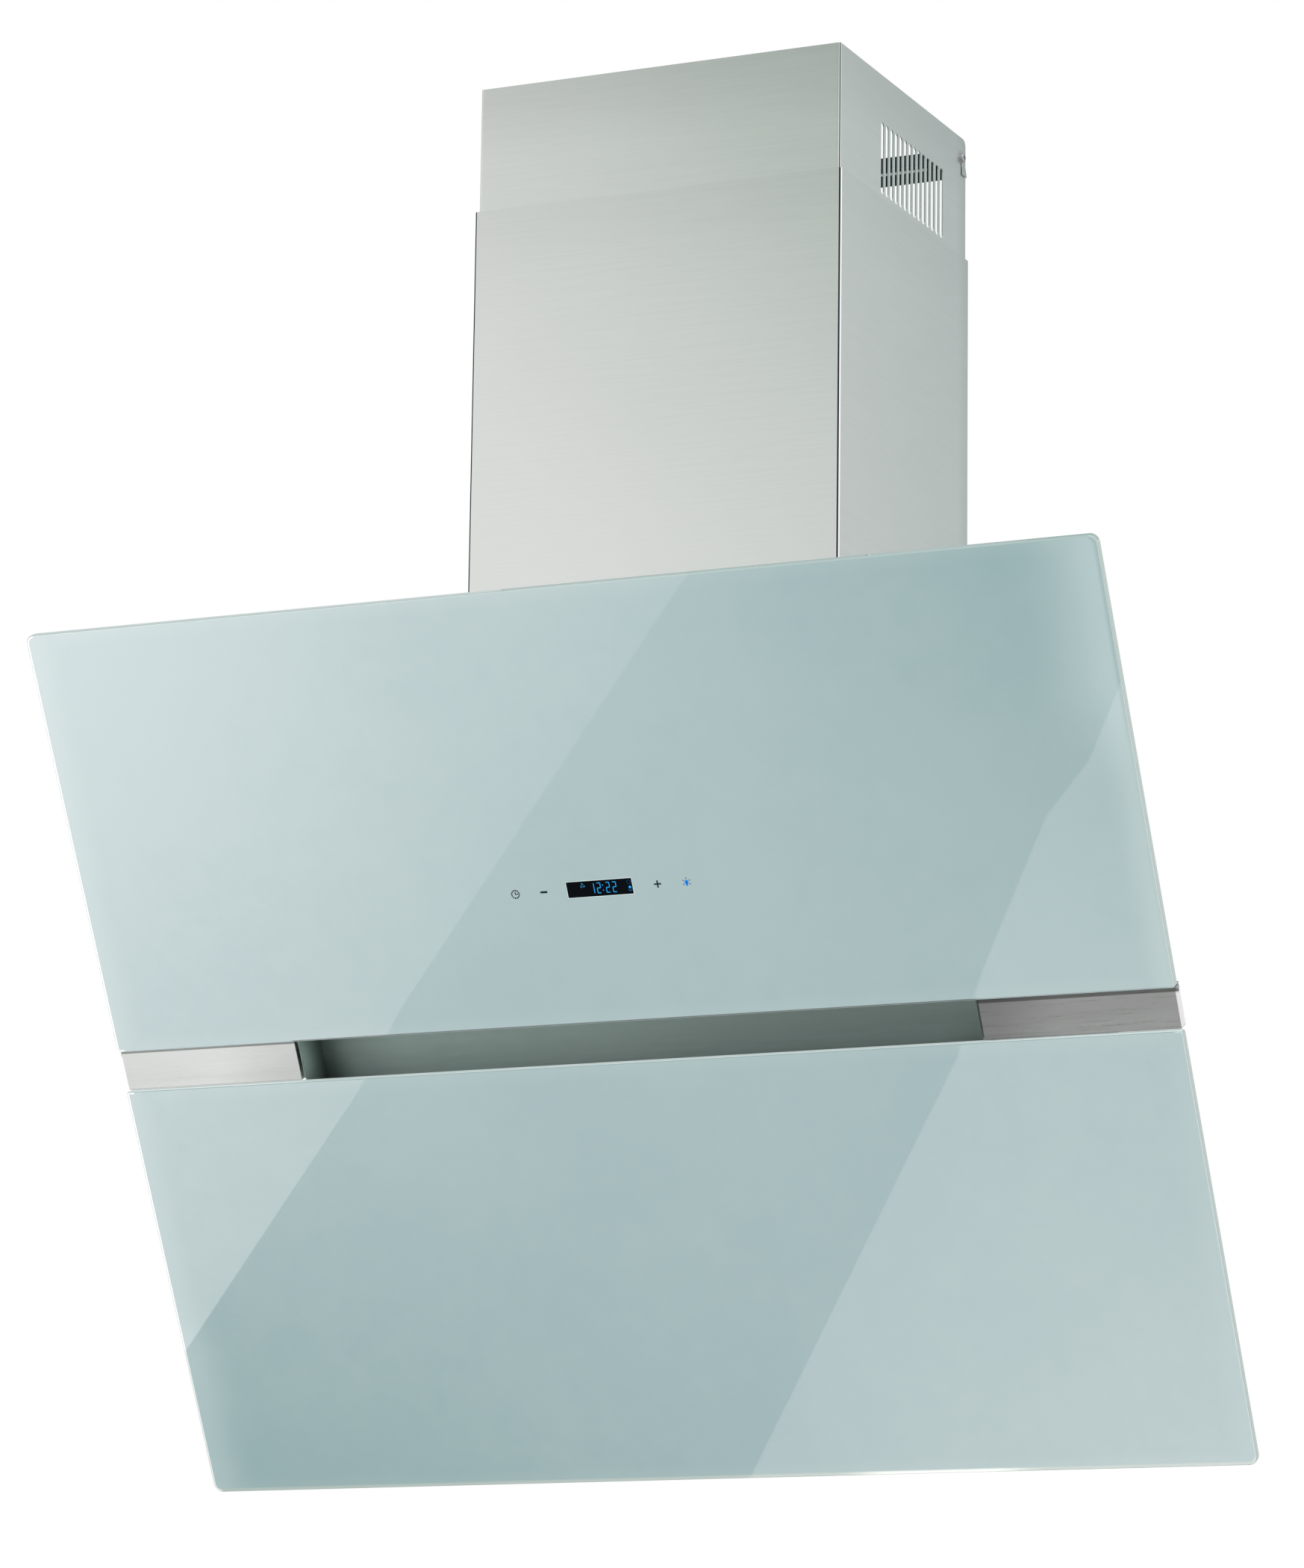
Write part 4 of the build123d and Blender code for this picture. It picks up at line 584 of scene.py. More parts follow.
def painted_face(finish, panel, settings):
    """Clouded paint, with painted light: lighter along the edges and brightest at one corner of the
    panel.
    """
    clouds = finish.noise(3.5, 5.0, 0.55)
    fine = finish.noise(45.0, 3.0, 0.6)
    mottle = finish.band(finish.mixed(fine, clouds, 0.25), 0.35, 0.65)
    colour = finish.blend(mottle, settings.paint, settings.paint_cloud)
    # Painted light at one corner: top right of the upper panel, bottom left of the lower one.
    if panel.upper:
        beside = finish.band(panel.to_right, 0.075, 0.0)
        glow = finish.times(beside, finish.band(panel.to_top, 0.2, 0.1, 0.0, 0.75))
    else:
        beside = finish.band(panel.to_left, 0.05, 0.0)
        glow = finish.times(beside, finish.band(panel.to_bottom, 0.17, 0.11, 0.0, 0.45))
    colour = finish.blend(glow, colour, settings.painted_corner_light)
    # Painted light along the sides and ends, its strength changing across the panel.
    side_level = finish.band(panel.x, 0.0, 0.1, 0.6, 1.0 if panel.upper else 0.25)
    sides = finish.times(finish.band(panel.to_side, settings.rim_width, 0.0), side_level)
    ends = finish.band(panel.to_end, settings.rim_width / 2, 0.0, 0.0, 0.3)
    rim = finish.blend(glow, settings.rim, settings.painted_corner_light)
    return finish.blend(finish.math("MAXIMUM", sides, ends), colour, rim)


def edge_lines(finish, panel, settings, colour):
    """Thin lines along the edges: painted highlights and painted shade. Each has its edge, its span
    inside the outline and its soft end.
    """
    lines = []
    if panel.upper:
        lines.append((panel.to_right, (0.0008, 0.0018), 0.0035, settings.right_shade))
        lines.append((panel.to_top, (0.0, 0.0008), 0.0008, settings.top_highlight))
    else:
        glint = finish.fall(finish.absolute(finish.minus(panel.x, 0.19)), 0.04, 0.09)
        bottom = finish.blend(glint, settings.bottom_highlight, settings.bottom_glint)
        outer = finish.blend(glint, settings.right_shade, bottom)
        lines.append((panel.to_bottom, (0.0006, 0.0018), 0.002, bottom))
        lines.append((panel.to_bottom, (-0.001, 0.0005), 0.0003, outer))
    lines.append((panel.to_right, (-0.001, 0.0009), 0.0004, settings.right_highlight))
    lines.append((panel.to_left, (0.0005, 0.0016), 0.0005, settings.left_highlight))
    lines.append((panel.to_left, (-0.001, 0.0003), 0.0003, settings.outline))
    # Each line is a painted highlight or painted shade.
    for near, span, soft, line_colour in lines:
        here = finish.fall(near, 0.005, 0.008)
        start = finish.band(panel.inset, span[0] - 0.0002, span[0] + 0.0002)
        end = finish.fall(panel.inset, span[1], span[1] + soft)
        mask = finish.times(here, finish.times(start, end))
        colour = finish.blend(mask, colour, line_colour)
    return colour


def slot_lip(finish, panel, settings, colour):
    """Painted shade on the bevel of the upper glass above the air slot."""
    left, right = [corner.x for corner in slope_box("slot_liner")]
    left_end = finish.band(panel.x, left - 0.003, left + 0.001)
    right_end = finish.band(panel.x, right - 0.004, right + 0.011, 1.0, 0.3)
    over_slot = finish.times(left_end, right_end)
    lip_shade = finish.times(finish.fall(panel.to_bottom, 0.0011, 0.0014), over_slot)
    bevel = finish.band(panel.to_bottom, ROUND, ROUND + 0.0002)
    return finish.blend(finish.times(lip_shade, bevel), colour, settings.lip_shade)


def glass_finish(name, node, settings, upper):
    """Back-painted float glass: gloss over paint, painted highlight and shade lines along the edges,
    and ground edges, the one below the air slot with painted light and a painted glow.
    """
    finish = Finish(name, {"IOR": 1.5})
    panel = Panel(finish, node, upper)
    colour = painted_face(finish, panel, settings)
    colour = edge_lines(finish, panel, settings, colour)
    if upper:
        colour = slot_lip(finish, panel, settings, colour)
    flank = finish.fall(panel.to_side, ROUND, 2 * ROUND)
    slot_face = finish.times(finish.fall(panel.to_end, ROUND, 2 * ROUND), panel.slot_side)
    ground = finish.blend(slot_face, settings.edge, settings.painted_slot_edge_light)
    ground = finish.blend(flank, ground, settings.side_edge)
    behind_face = finish.band(panel.w, ROUND, ROUND + 0.0004)
    colour = finish.blend(behind_face, colour, ground)
    back = finish.band(panel.w, panel.thickness - 0.0006, panel.thickness - 0.0002)
    finish.set("Base Color", finish.blend(back, colour, settings.back))
    finish.set("Emission Color", (*settings.edge, 1.0))
    # Painted light: the ground edge below the slot glows.
    glow = finish.times(finish.times(slot_face, behind_face), settings.painted_edge_glow)
    finish.set("Emission Strength", glow)
    finish.roughen(back, 0.0, 1.0, settings.gloss, 0.5)
    return finish


class HOOD_OT_glass(bpy.types.Operator):
    """Paint and polish the two glass panels"""

    bl_idname = "hood.glass"
    bl_label = "Glass panels"

    def execute(self, context):
        settings = context.scene.hood_glass
        dress(glass_finish("upper_glass_paint", "upper_glass", settings, True), "upper_glass")
        dress(glass_finish("lower_glass_paint", "lower_glass", settings, False), "lower_glass")
        return {"FINISHED"}


# Controls


def printed_ink(name, colour, shine=0.12):
    """Ink printed on the glass."""
    finish = Finish(name, {"Specular IOR Level": shine})
    grain = finish.noise(2500.0, 2.0)
    finish.mottle(grain, colour, 0.8, 1.2)
    finish.roughen(grain, 0.2, 0.8, 0.05, 0.12)
    return finish


def lit_segment(name, colour, strength):
    """A lit part of the display, a little uneven."""
    finish = Finish(name, {"Roughness": 0.3, "Specular IOR Level": 0.05, "Emission Strength": strength})
    glow = finish.noise(700.0, 2.0)
    uneven = finish.blend(glow, shade(colour, 0.75), shade(colour, 1.15))
    finish.mottle(glow, colour, 0.3, 0.4)
    finish.set("Emission Color", uneven)
    return finish


CLOCK = (("1", -0.0051), ("2", 0.0004), ("2", 0.008), ("2", 0.01355))  # each digit and its place across
COLON = 0.00385  # places of the colon and the small marks across
FAN_MARK = -0.0131
SIDE_MARKS = 0.0261
DIGIT_WIDTH = 0.0033
STROKE = 0.0005  # width of a lit bar
SEGMENTS = {
    "top": (0.0, -1.0, True),
    "upper_right": (1.0, -0.5, False),
    "middle": (0.0, 0.0, True),
    "lower_left": (-1.0, 0.5, False),
    "lower_right": (1.0, 0.5, False),
    "bottom": (0.0, 1.0, True),
}
DIGITS = {
    "1": ("upper_right", "lower_right"),
    "2": ("top", "upper_right", "middle", "lower_left", "bottom"),
}


def add_digit(bm, digit, x, u, height):
    """A seven-segment digit of lit bars."""
    for name in DIGITS[digit]:
        side, level, flat = SEGMENTS[name]
        centre_x = x + side * (DIGIT_WIDTH - STROKE) / 2
        centre_u = u + level * (height - STROKE) / 2
        long = DIGIT_WIDTH - 1.5 * STROKE if flat else height / 2 - 0.9 * STROKE
        size = (long, STROKE) if flat else (STROKE, long)
        add_bar(bm, on_glass(centre_x, centre_u, LIT), *size)


def build_digits(bm, settings):
    """The clock of the display, with its colon."""
    middle = settings.row - 0.0002
    for digit, x in CLOCK:
        add_digit(bm, digit, x, middle, settings.digit_height)
    for u in (middle - 0.0021, middle + 0.0021):
        add_disc(bm, on_glass(COLON, u, LIT), 0.0004, 16)


def window_place(settings, layer):
    """Placement of the window in front of the display."""
    low, high = slope_box("display_module")
    return on_glass((low.x + high.x) / 2, settings.row, layer)


def build_border(bm, settings):
    """Pale border that shows round the window."""
    border = 0.0011
    size = (settings.window_width + border, settings.window_height + border)
    add_bar(bm, window_place(settings, PRINTED), *size)


def build_window(bm, settings):
    """Black window of the display."""
    place = window_place(settings, WINDOW)
    add_bar(bm, place, settings.window_width, settings.window_height)


def build_fan_mark(bm, settings):
    """Three curved blades."""
    for turn in range(3):
        hub = on_glass(FAN_MARK, settings.row - 0.0028, LIT, radians(120 * turn))
        blade = hub @ Matrix.Translation((0.0009, 0.0, 0.0))
        add_arc(bm, blade, 0.0007, 0.0012, radians(140), 8)


def build_side_marks(bm, settings):
    """Small dotted sun and bowl beside the clock."""
    for turn in range(8):
        dot = on_glass(SIDE_MARKS, settings.row - 0.0034, LIT, radians(45 * turn))
        add_disc(bm, dot @ Matrix.Translation((0.0015, 0.0, 0.0)), 0.00025, 10)
    bowl = on_glass(SIDE_MARKS + 0.0003, settings.row + 0.0024, LIT)
    add_arc(bm, bowl, 0.0012, 0.0017, radians(180), 10)


def build_diamond(bm, settings):
    """A bright diamond above the bowl."""
    place = on_glass(SIDE_MARKS + 0.0003, settings.row + 0.0009, LIT, radians(45))
    add_bar(bm, place, 0.0018, 0.0018)


def build_timer(bm, settings):
    """Clock face: a ring of twelve dashes and two hands."""
    x, u = settings.timer, settings.row + 0.0003
    radius = 0.0037
    thickness = 0.0011
    for hour in range(12):
        dash = on_glass(x, u, PRINTED, radians(30 * hour))
        add_arc(bm, dash, radius - thickness, radius, radians(22), 3)
    add_bar(bm, on_glass(x, u - 0.0009), 0.0008, 0.002)
    add_bar(bm, on_glass(x + 0.001, u), 0.0026, 0.0007)


def build_minus(bm, settings):
    """Minus sign."""
    add_bar(bm, on_glass(settings.minus, settings.row + 0.0002), 0.0058, 0.0017)


def build_plus(bm, settings):
    """Plus sign."""
    place = on_glass(settings.plus, settings.row + 0.0001)
    add_bar(bm, place, 0.006, 0.0012)
    add_bar(bm, place, 0.0012, 0.006)


def build_bulb(bm, settings):
    """Lamp key: a bulb with its neck."""
    x, u = settings.lamp, settings.row + 0.0002
    add_disc(bm, on_glass(x, u), 0.00165)
    add_bar(bm, on_glass(x, u + 0.002), 0.0014, 0.002)


def build_rays(bm, settings):
    """Five rays round the bulb."""
    centre = settings.row + 0.0003
    for angle in (-90, -30, 30, 210, 150):
        ray = on_glass(settings.lamp, centre, PRINTED, radians(angle))
        add_bar(bm, ray @ Matrix.Translation((0.0031, 0.0, 0.0)), 0.0013, 0.0007)


class HOOD_OT_controls(bpy.types.Operator):
    """Print the touch keys and light the display"""

    bl_idname = "hood.controls"
    bl_label = "Touch keys and display"

    def execute(self, context):
        settings = context.scene.hood_controls
        ink = printed_ink("key_ink", settings.ink)
        border_ink = printed_ink("window_border", (0.61, 0.75, 0.74))
        black = printed_ink("window_black", (0.002, 0.003, 0.005), 0.03)
        lit = lit_segment("display_light", settings.light, 1.0)
        dim = lit_segment("display_dim_light", shade(settings.light, 0.4), 0.6)
        pale = lit_segment("fan_light", (0.06, 0.42, 0.75), 0.5)
        lamp_ink = printed_ink("lamp_key_blue", (0.005, 0.22, 0.75))
        ray_ink = printed_ink("lamp_ray_blue", (0.045, 0.115, 0.33))
        pieces = (
            ("window_border", build_border, border_ink, "display_glass"),
            ("display_window", build_window, black, "display_glass"),
            ("display_digits", build_digits, lit, "display_glass"),
            ("fan_mark", build_fan_mark, pale, "display_glass"),
            ("side_marks", build_side_marks, dim, "display_glass"),
            ("diamond_mark", build_diamond, lit, "display_glass"),
            ("timer_key", build_timer, ink, "upper_glass"),
            ("minus_key", build_minus, ink, "upper_glass"),
            ("plus_key", build_plus, ink, "upper_glass"),
            ("lamp_key", build_bulb, lamp_ink, "upper_glass"),
            ("lamp_rays", build_rays, ray_ink, "upper_glass"),
        )
        for name, build, finish, slot in pieces:
            settle(name, build, (settings,), finish, "canopy")
        return {"FINISHED"}


# Chimney, trims and slot


def chimney_finish(node, settings):
    """Brushed steel with painted shade at the top and along the rear edge, and a painted highlight and
    painted shade along the round of each fold.
    """
    finish = brushed_metal(node + "_brushed", settings.chimney, 0.34, settings.grain, 0.035)
    low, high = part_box(node)
    x, y, z = finish.parts(finish.object_coordinates)
    bend = settings.bend
    # Painted shade towards the top of each section and along its rear edge.
    reach, level = (0.07, 0.9) if node == "upper_chimney" else (0.08, 0.96)
    finish.relight(z, high.z - reach, high.z, 1.0, level)
    finish.relight(y, high.y - 0.025, high.y, 1.0, 0.9)
    to_side = finish.minus(high.x, finish.absolute(x))
    to_front = finish.minus(y, low.y)
    painted_fold_lines = finish.fall(finish.math("MAXIMUM", to_side, to_front), bend * 0.95, bend)
    turn = finish.band(finish.minus(to_side, to_front), -bend * 0.05, bend * 0.15)
    # Painted highlight over the round of each fold, and painted shade on its front half.
    finish.tint(painted_fold_lines, (1.0, 1.0, 1.0))
    finish.tint(finish.times(painted_fold_lines, turn), settings.fold_shade)
    return finish


def trim_finish(node, settings, inner_shade_level, lip_shadow):
    """Brushed steel with painted shade: darker towards the air slot, at its inner end, right under the
    glass and along its bottom edge.
    """
    finish = brushed_metal(node + "_brushed", settings.trim, 0.3, settings.grain * 1.6, 0.03)
    low, high = slope_box(node)
    x, u = finish.parts(finish.on_slope())[:2]
    inner = min(abs(low.x), abs(high.x))
    aside = finish.absolute(x)
    # Painted shade towards and at the inner end, a painted shadow of the glass along the top, and a
    # dark line along the bottom.
    finish.relight(aside, inner, inner + 0.075, inner_shade_level, 1.0)
    finish.relight(aside, inner + 0.0002, inner + 0.0006, 0.7, 1.0)
    finish.relight(u, low.y + lip_shadow, low.y + lip_shadow + 0.0004, 0.4, 1.0)
    finish.relight(u, high.y - 0.0007, high.y - 0.0004, 1.0, 0.6)
    return finish


def slot_finish(settings):
    """Brushed steel of the slot, darker than the chimney's as painted shade: darkest in its left
    corner, lighter along its foot as painted light.
    """
    finish = brushed_metal("slot_brushed", settings.slot, 0.4, settings.grain, 0.05, metallic=0.6)
    low, high = slope_box("slot_liner")
    x, u, w = finish.parts(finish.on_slope())
    # Painted light and shade: the left end lighter at the front and darker deep in the corner, the foot
    # lighter, the right side and the front edge darker.
    painted_end_shading = finish.band(w, low.z + 0.0025, high.z, 1.9, 0.45)
    foot = finish.band(x, low.x, low.x + 0.03, 0.6, 1.8)
    finish.relight(x, low.x, low.x + 0.08, painted_end_shading, 1.0)
    finish.relight(x, -0.1, 0.12, 1.0, 0.82)
    finish.relight(u, high.y - 0.027, high.y - 0.001, 1.0, foot)
    finish.relight(w, low.z + 0.0002, low.z + 0.0006, 0.35, 1.0)
    return finish


class HOOD_OT_steel(bpy.types.Operator):
    """Brush the chimney, the trims and the slot"""

    bl_idname = "hood.steel"
    bl_label = "Brushed steel"

    def execute(self, context):
        settings = context.scene.hood_steel
        for node in ("lower_chimney", "upper_chimney"):
            dress(chimney_finish(node, settings), node)
        # The right trim gets deeper painted shade and a wider painted shadow under the glass than the
        # left one.
        dress(trim_finish("left_trim", settings, 0.85, 0.0013), "left_trim")
        dress(trim_finish("right_trim", settings, 0.62, 0.0027), "right_trim")
        dress(slot_finish(settings), "slot_liner")
        return {"FINISHED"}


# Body and brackets


def bracket_finish(node):
    """Black coat, with a painted highlight: a pale line along the lower side of the rib."""
    finish = powder_coat("bracket_coat", (0.008, 0.012, 0.018), 0.5, 0.12)
    low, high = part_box(node)
    x, _, z = finish.parts(finish.object_coordinates)
    rib_edge = low.z + (high.z - low.z) * 0.41
    away = finish.absolute(finish.minus(z, rib_edge))
    # Painted highlight along the lower side of the rib.
    line = finish.fall(away, 0.0009, 0.0012)
    inside = finish.fall(finish.absolute(x), high.x - 0.034, high.x - 0.032)
    finish.tint(finish.times(line, inside), (0.8, 0.92, 0.92))
    return finish


class HOOD_OT_body(bpy.types.Operator):
    """Coat the body's sheets and brackets"""

    bl_idname = "hood.body"
    bl_label = "Body and brackets"

    def execute(self, context):
        settings = context.scene.hood_body
        coat = powder_coat("body_coat", settings.coat)
        dress(coat, "left_side_panel", "right_side_panel", "roof_panel", "floor_panel", "front_plate")
        zinc = sheet_metal("zinc_sheet", settings.zinc)
        dress(zinc, "glass_rails", "back_plate", "trim_brackets", "filter_shelf", "door_frame")
        dress(zinc, "hinge_brackets", "motor_bracket", "wiring_cover", "lower_bracket")
        dress(bracket_finish("upper_bracket"), "upper_bracket")
        return {"FINISHED"}


# Inside


def filter_core(name, settings):
    """Inner layers of the filter pack: fine crossed strands, darkened as painted shade, over painted
    shade for its depth.
    """
    finish = Finish(name, {"Metallic": 0.9})
    pitch = settings.diamond_width * 0.7
    x, u = finish.parts(finish.on_slope((1.0 / pitch, 2.0 / pitch, 1.0)))[:2]
    lines = []
    for sign in (1.0, -1.0):
        wave = finish.math("PINGPONG", finish.math("MULTIPLY_ADD", u, sign, x), 0.5)
        lines.append(finish.fall(wave, 0.08, 0.14))
    strands = finish.math("MAXIMUM", *lines)
    wear = finish.noise(120.0, 3.0)
    metal = finish.blend(wear, shade(settings.alloy, 0.55), shade(settings.alloy, 0.8))
    finish.set("Base Color", finish.blend(strands, settings.shadow, metal))
    finish.roughen(wear, 0.2, 0.8, 0.35, 0.5)
    finish.bump(strands, 0.0008, 0.8)
    return finish


def add_strand(bm, settings, origin, across, u, w, flip):
    """One zigzag strand, pushed on from bend to bend. Its bends count from the origin."""
    half = settings.diamond_width / 2
    first = int((across[0] - origin) // half) + 1
    bends = range(first, ceil((across[1] - origin) / half))
    points = []
    for x in (across[0], *(origin + half * bend for bend in bends), across[1]):
        wave = abs((x - origin) / half % 2 - 1)
        wave = 1 - wave if flip else wave
        rise = settings.diamond_height / 2 + settings.strand / 4
        points.append(Vector((x, u + wave * rise, w + (wave - 0.5) * settings.sheet / 2)))
    section = Matrix.Translation(points[0]) @ Matrix.Rotation(pi / 2, 4, "Y")
    section = section @ Matrix.Diagonal((settings.sheet, settings.strand, 1.0, 1.0))
    made = bmesh.ops.create_grid(bm, x_segments=1, y_segments=1, size=0.5, matrix=section)
    verts = list(made["verts"])
    end = verts[0].link_faces[0]
    for here, there in zip(points, points[1:]):
        pushed = bmesh.ops.extrude_face_region(bm, geom=[*end.verts, *end.edges, end])["geom"]
        end = next(item for item in pushed if isinstance(item, bmesh.types.BMFace))
        bmesh.ops.translate(bm, verts=list(end.verts), vec=there - here)
        verts += end.verts
    return verts


def add_rows(bm, settings, origin, spans, u, w, count):
    """Rows of diamonds: two mirrored strands for each span, repeated down the slope."""
    verts = []
    for across in spans:
        verts += add_strand(bm, settings, origin, across, u, w, False)
        verts += add_strand(bm, settings, origin, across, u + settings.diamond_height / 2, w, True)
    rows = linked(verts)
    for row in range(1, count):
        copy = bmesh.ops.duplicate(bm, geom=rows)["geom"]
        moved = [item for item in copy if isinstance(item, bmesh.types.BMVert)]
        bmesh.ops.translate(bm, verts=moved, vec=(0.0, row * settings.diamond_height, 0.0))


def build_net(bm, settings, core):
    """Expanded metal over both faces of a filter's core, cut out round the latch block."""
    low, high = slope_box(core)
    middle = (low.x + high.x) / 2
    left, right = low.x - settings.grip, high.x + settings.grip
    block = settings.block_width / 2 - settings.grip
    spans = ((left, middle - block), (middle + block, right))
    beside = ceil(settings.block_height / settings.diamond_height)
    below = ceil((high.y - low.y) / settings.diamond_height) - beside
    start = low.y + beside * settings.diamond_height
    for w in (low.z - settings.sheet, high.z + settings.sheet):
        add_rows(bm, settings, left, spans, low.y, w, beside)
        add_rows(bm, settings, left, ((left, right),), start, w, below)
    bmesh.ops.transform(bm, matrix=SLOPE, verts=bm.verts)


class HOOD_OT_filters(bpy.types.Operator):
    """Weave the grease filters"""

    bl_idname = "hood.filters"
    bl_label = "Grease filters"

    def execute(self, context):
        settings = context.scene.hood_filters
        alloy = brushed_metal("filter_alloy", settings.alloy, 0.35, 500.0, 0.05)
        dress(alloy, "left_filter_frame", "right_filter_frame")
        dress(filter_core("filter_core", settings), "left_filter_mesh", "right_filter_mesh")
        strands = bright_plate("strand_alloy", settings.alloy, 0.3)
        for side in ("left", "right"):
            values = (settings, side + "_filter_mesh")
            settle(side + "_filter_net", build_net, values, strands, "canopy")
        latch = moulded_plastic("latch_plastic", (0.033, 0.036, 0.04))
        dress(latch, "left_filter_latch", "right_filter_latch")
        return {"FINISHED"}


class HOOD_OT_blower(bpy.types.Operator):
    """Finish the blower and the duct spigot"""

    bl_idname = "hood.blower"
    bl_label = "Blower and spigot"

    def execute(self, context):
        scroll = moulded_plastic("blower_plastic", (0.022, 0.025, 0.028), 0.55, 900.0, 0.00005)
        dress(scroll, "left_blower_housing", "right_blower_housing")
        dress(moulded_plastic("impeller_plastic", (0.073, 0.078, 0.083)), "impeller")
        spigot = moulded_plastic("spigot_plastic", (0.012, 0.012, 0.014))
        dress(spigot, "outlet_spigot", "rear_flap", "front_flap", "cable_gland")
        dress(powder_coat("motor_lacquer", (0.075, 0.08, 0.085), 0.35), "motor")
        return {"FINISHED"}


def board_finish(name, colour):
    """Circuit board with paler tracks under its lacquer."""
    finish = Finish(name, {"Specular IOR Level": 0.5})
    tracks = finish.node("ShaderNodeTexBrick", offset=0.35, squash=1.6, squash_frequency=3)
    finish.feed(tracks.inputs["Vector"], finish.object_coordinates)
    for socket, level in (("Color1", 0.9), ("Color2", 1.15), ("Mortar", 2.4)):
        tracks.inputs[socket].default_value = (*shade(colour, level), 1.0)
    tracks.inputs["Scale"].default_value = 130.0
    tracks.inputs["Mortar Size"].default_value = 0.05
    finish.set("Base Color", tracks.outputs["Color"])
    finish.roughen(tracks.outputs["Fac"], 0.0, 1.0, 0.25, 0.35)
    finish.bump(tracks.outputs["Fac"], 0.00004, 0.6)
    return finish


def build_springs(bm, settings):
    """A contact spring behind each touch key, wound from the glass to the board."""
    low, high = slope_box("touch_springs")
    wire = 0.0004
    coil = (high.y - low.y) / 2 - wire
    turns = 6
    steps = 16
    inward = SLOPE.to_3x3() @ Vector((0.0, 0.0, 1.0))
    for x in (settings.timer, settings.minus, settings.plus, settings.lamp):
        foot = Vector((x, (low.y + high.y) / 2, low.z + wire))
        section = Matrix.Translation(foot + ACROSS * coil) @ Matrix.Rotation(pi / 2, 4, "X")
        made = bmesh.ops.create_circle(
            bm, cap_ends=True, segments=8, radius=wire, matrix=SLOPE @ section
        )
        rise = inward * (high.z - low.z - 2 * wire) / (turns * steps)
        sweep(bm, linked(made["verts"]), SLOPE @ foot, inward, 2 * pi * turns, turns * steps, rise)


class HOOD_OT_electrics(bpy.types.Operator):
    """Finish the housings, boards and springs"""

    bl_idname = "hood.electrics"
    bl_label = "Electrical pieces"

    def execute(self, context):
        housing = moulded_plastic("housing_plastic", (0.014, 0.014, 0.016))
        dress(housing, "control_housing", "wiring_box", "lamp_driver")
        dress(board_finish("board_green", (0.01, 0.055, 0.022)), "touch_board", "control_board")
        dress(printed_ink("display_black", (0.006, 0.007, 0.01)), "display_module")
        keys = (context.scene.hood_controls,)
        wire = bright_plate("spring_wire", (0.6, 0.56, 0.45))
        springs = settle("key_springs", build_springs, keys, wire, "canopy", True)
        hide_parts("touch_springs")
        dress(moulded_plastic("capacitor_white", (0.68, 0.68, 0.64), 0.35), "motor_capacitor")
        return {"FINISHED"}


def lens_finish(name):
    """Frosted lens with small round prisms pressed into it."""
    finish = Finish(name, {"IOR": 1.5})
    prisms = finish.cells(420.0, "SMOOTH_F1")
    tone = finish.band(prisms, 0.1, 0.7)
    finish.set("Base Color", finish.blend(tone, (0.84, 0.84, 0.81), (0.66, 0.67, 0.65)))
    finish.roughen(tone, 0.0, 1.0, 0.22, 0.4)
    finish.bump(prisms, 0.0009, 0.7)
    return finish


class HOOD_OT_lamps(bpy.types.Operator):
    """Finish the lamps under the floor"""

    bl_idname = "hood.lamps"
    bl_label = "Lamps"

    def execute(self, context):
        dress(brushed_metal("lamp_rim", (0.62, 0.62, 0.62), 0.3, 600.0), "lamp_housings")
        dress(lens_finish("lamp_lens"), "lamp_lenses")
        return {"FINISHED"}


class HOOD_OT_fasteners(bpy.types.Operator):
    """Plate the screws, pins and magnets"""

    bl_idname = "hood.fasteners"
    bl_label = "Screws and pins"

    def execute(self, context):
        nickel = bright_plate("nickel_plate", (0.56, 0.56, 0.57))
        dress(nickel, "cabinet_screws", "hinge_pins", "motor_shaft", "duct_screws", "flap_pin")
        dress(nickel, "upper_side_screws", "lower_side_screws")
        dress(powder_coat("ferrite", (0.014, 0.014, 0.014), 0.6), "door_magnets")
        dress(moulded_plastic("felt_pad", (0.05, 0.05, 0.052), 0.9, 500.0, 0.0002), "guide_pads")
        return {"FINISHED"}


# Stage


def fade(finish, corners):
    """A level that runs evenly between the four corners of a card: top left, top right, then bottom."""
    uv = finish.node("ShaderNodeUVMap", uv_map="card").outputs[0]
    across, down = finish.parts(uv)[:2]
    rows = []
    for left, right in (corners[:2], corners[2:]):
        rows.append(finish.math("MULTIPLY_ADD", across, right - left, left))
    drop = finish.minus(rows[1], rows[0])
    return finish.math("MAXIMUM", finish.math("MULTIPLY_ADD", drop, down, rows[0]), 0.0)


def card_finish(name, colour, glow=None, passing=None, clear_colour=(1.0, 1.0, 1.0)):
    """A card that adds its glow to what is behind it, or lets only a part of that pass."""
    finish = Finish(name, {})
    output = finish.tree.nodes["Material Output"]
    clear = finish.node("ShaderNodeBsdfTransparent")
    shader = clear.outputs[0]
    if passing:
        net = finish.blend(fade(finish, passing), colour, clear_colour)
        finish.feed(clear.inputs["Color"], net)
    if glow:
        light = finish.node("ShaderNodeEmission")
        light.inputs["Color"].default_value = (*colour, 1.0)
        finish.feed(light.inputs["Strength"], fade(finish, glow))
        both = finish.node("ShaderNodeAddShader")
        finish.feed(both.inputs[0], shader)
        finish.feed(both.inputs[1], light.outputs[0])
        shader = both.outputs[0]
    finish.feed(output.inputs["Surface"], shader)
    return finish


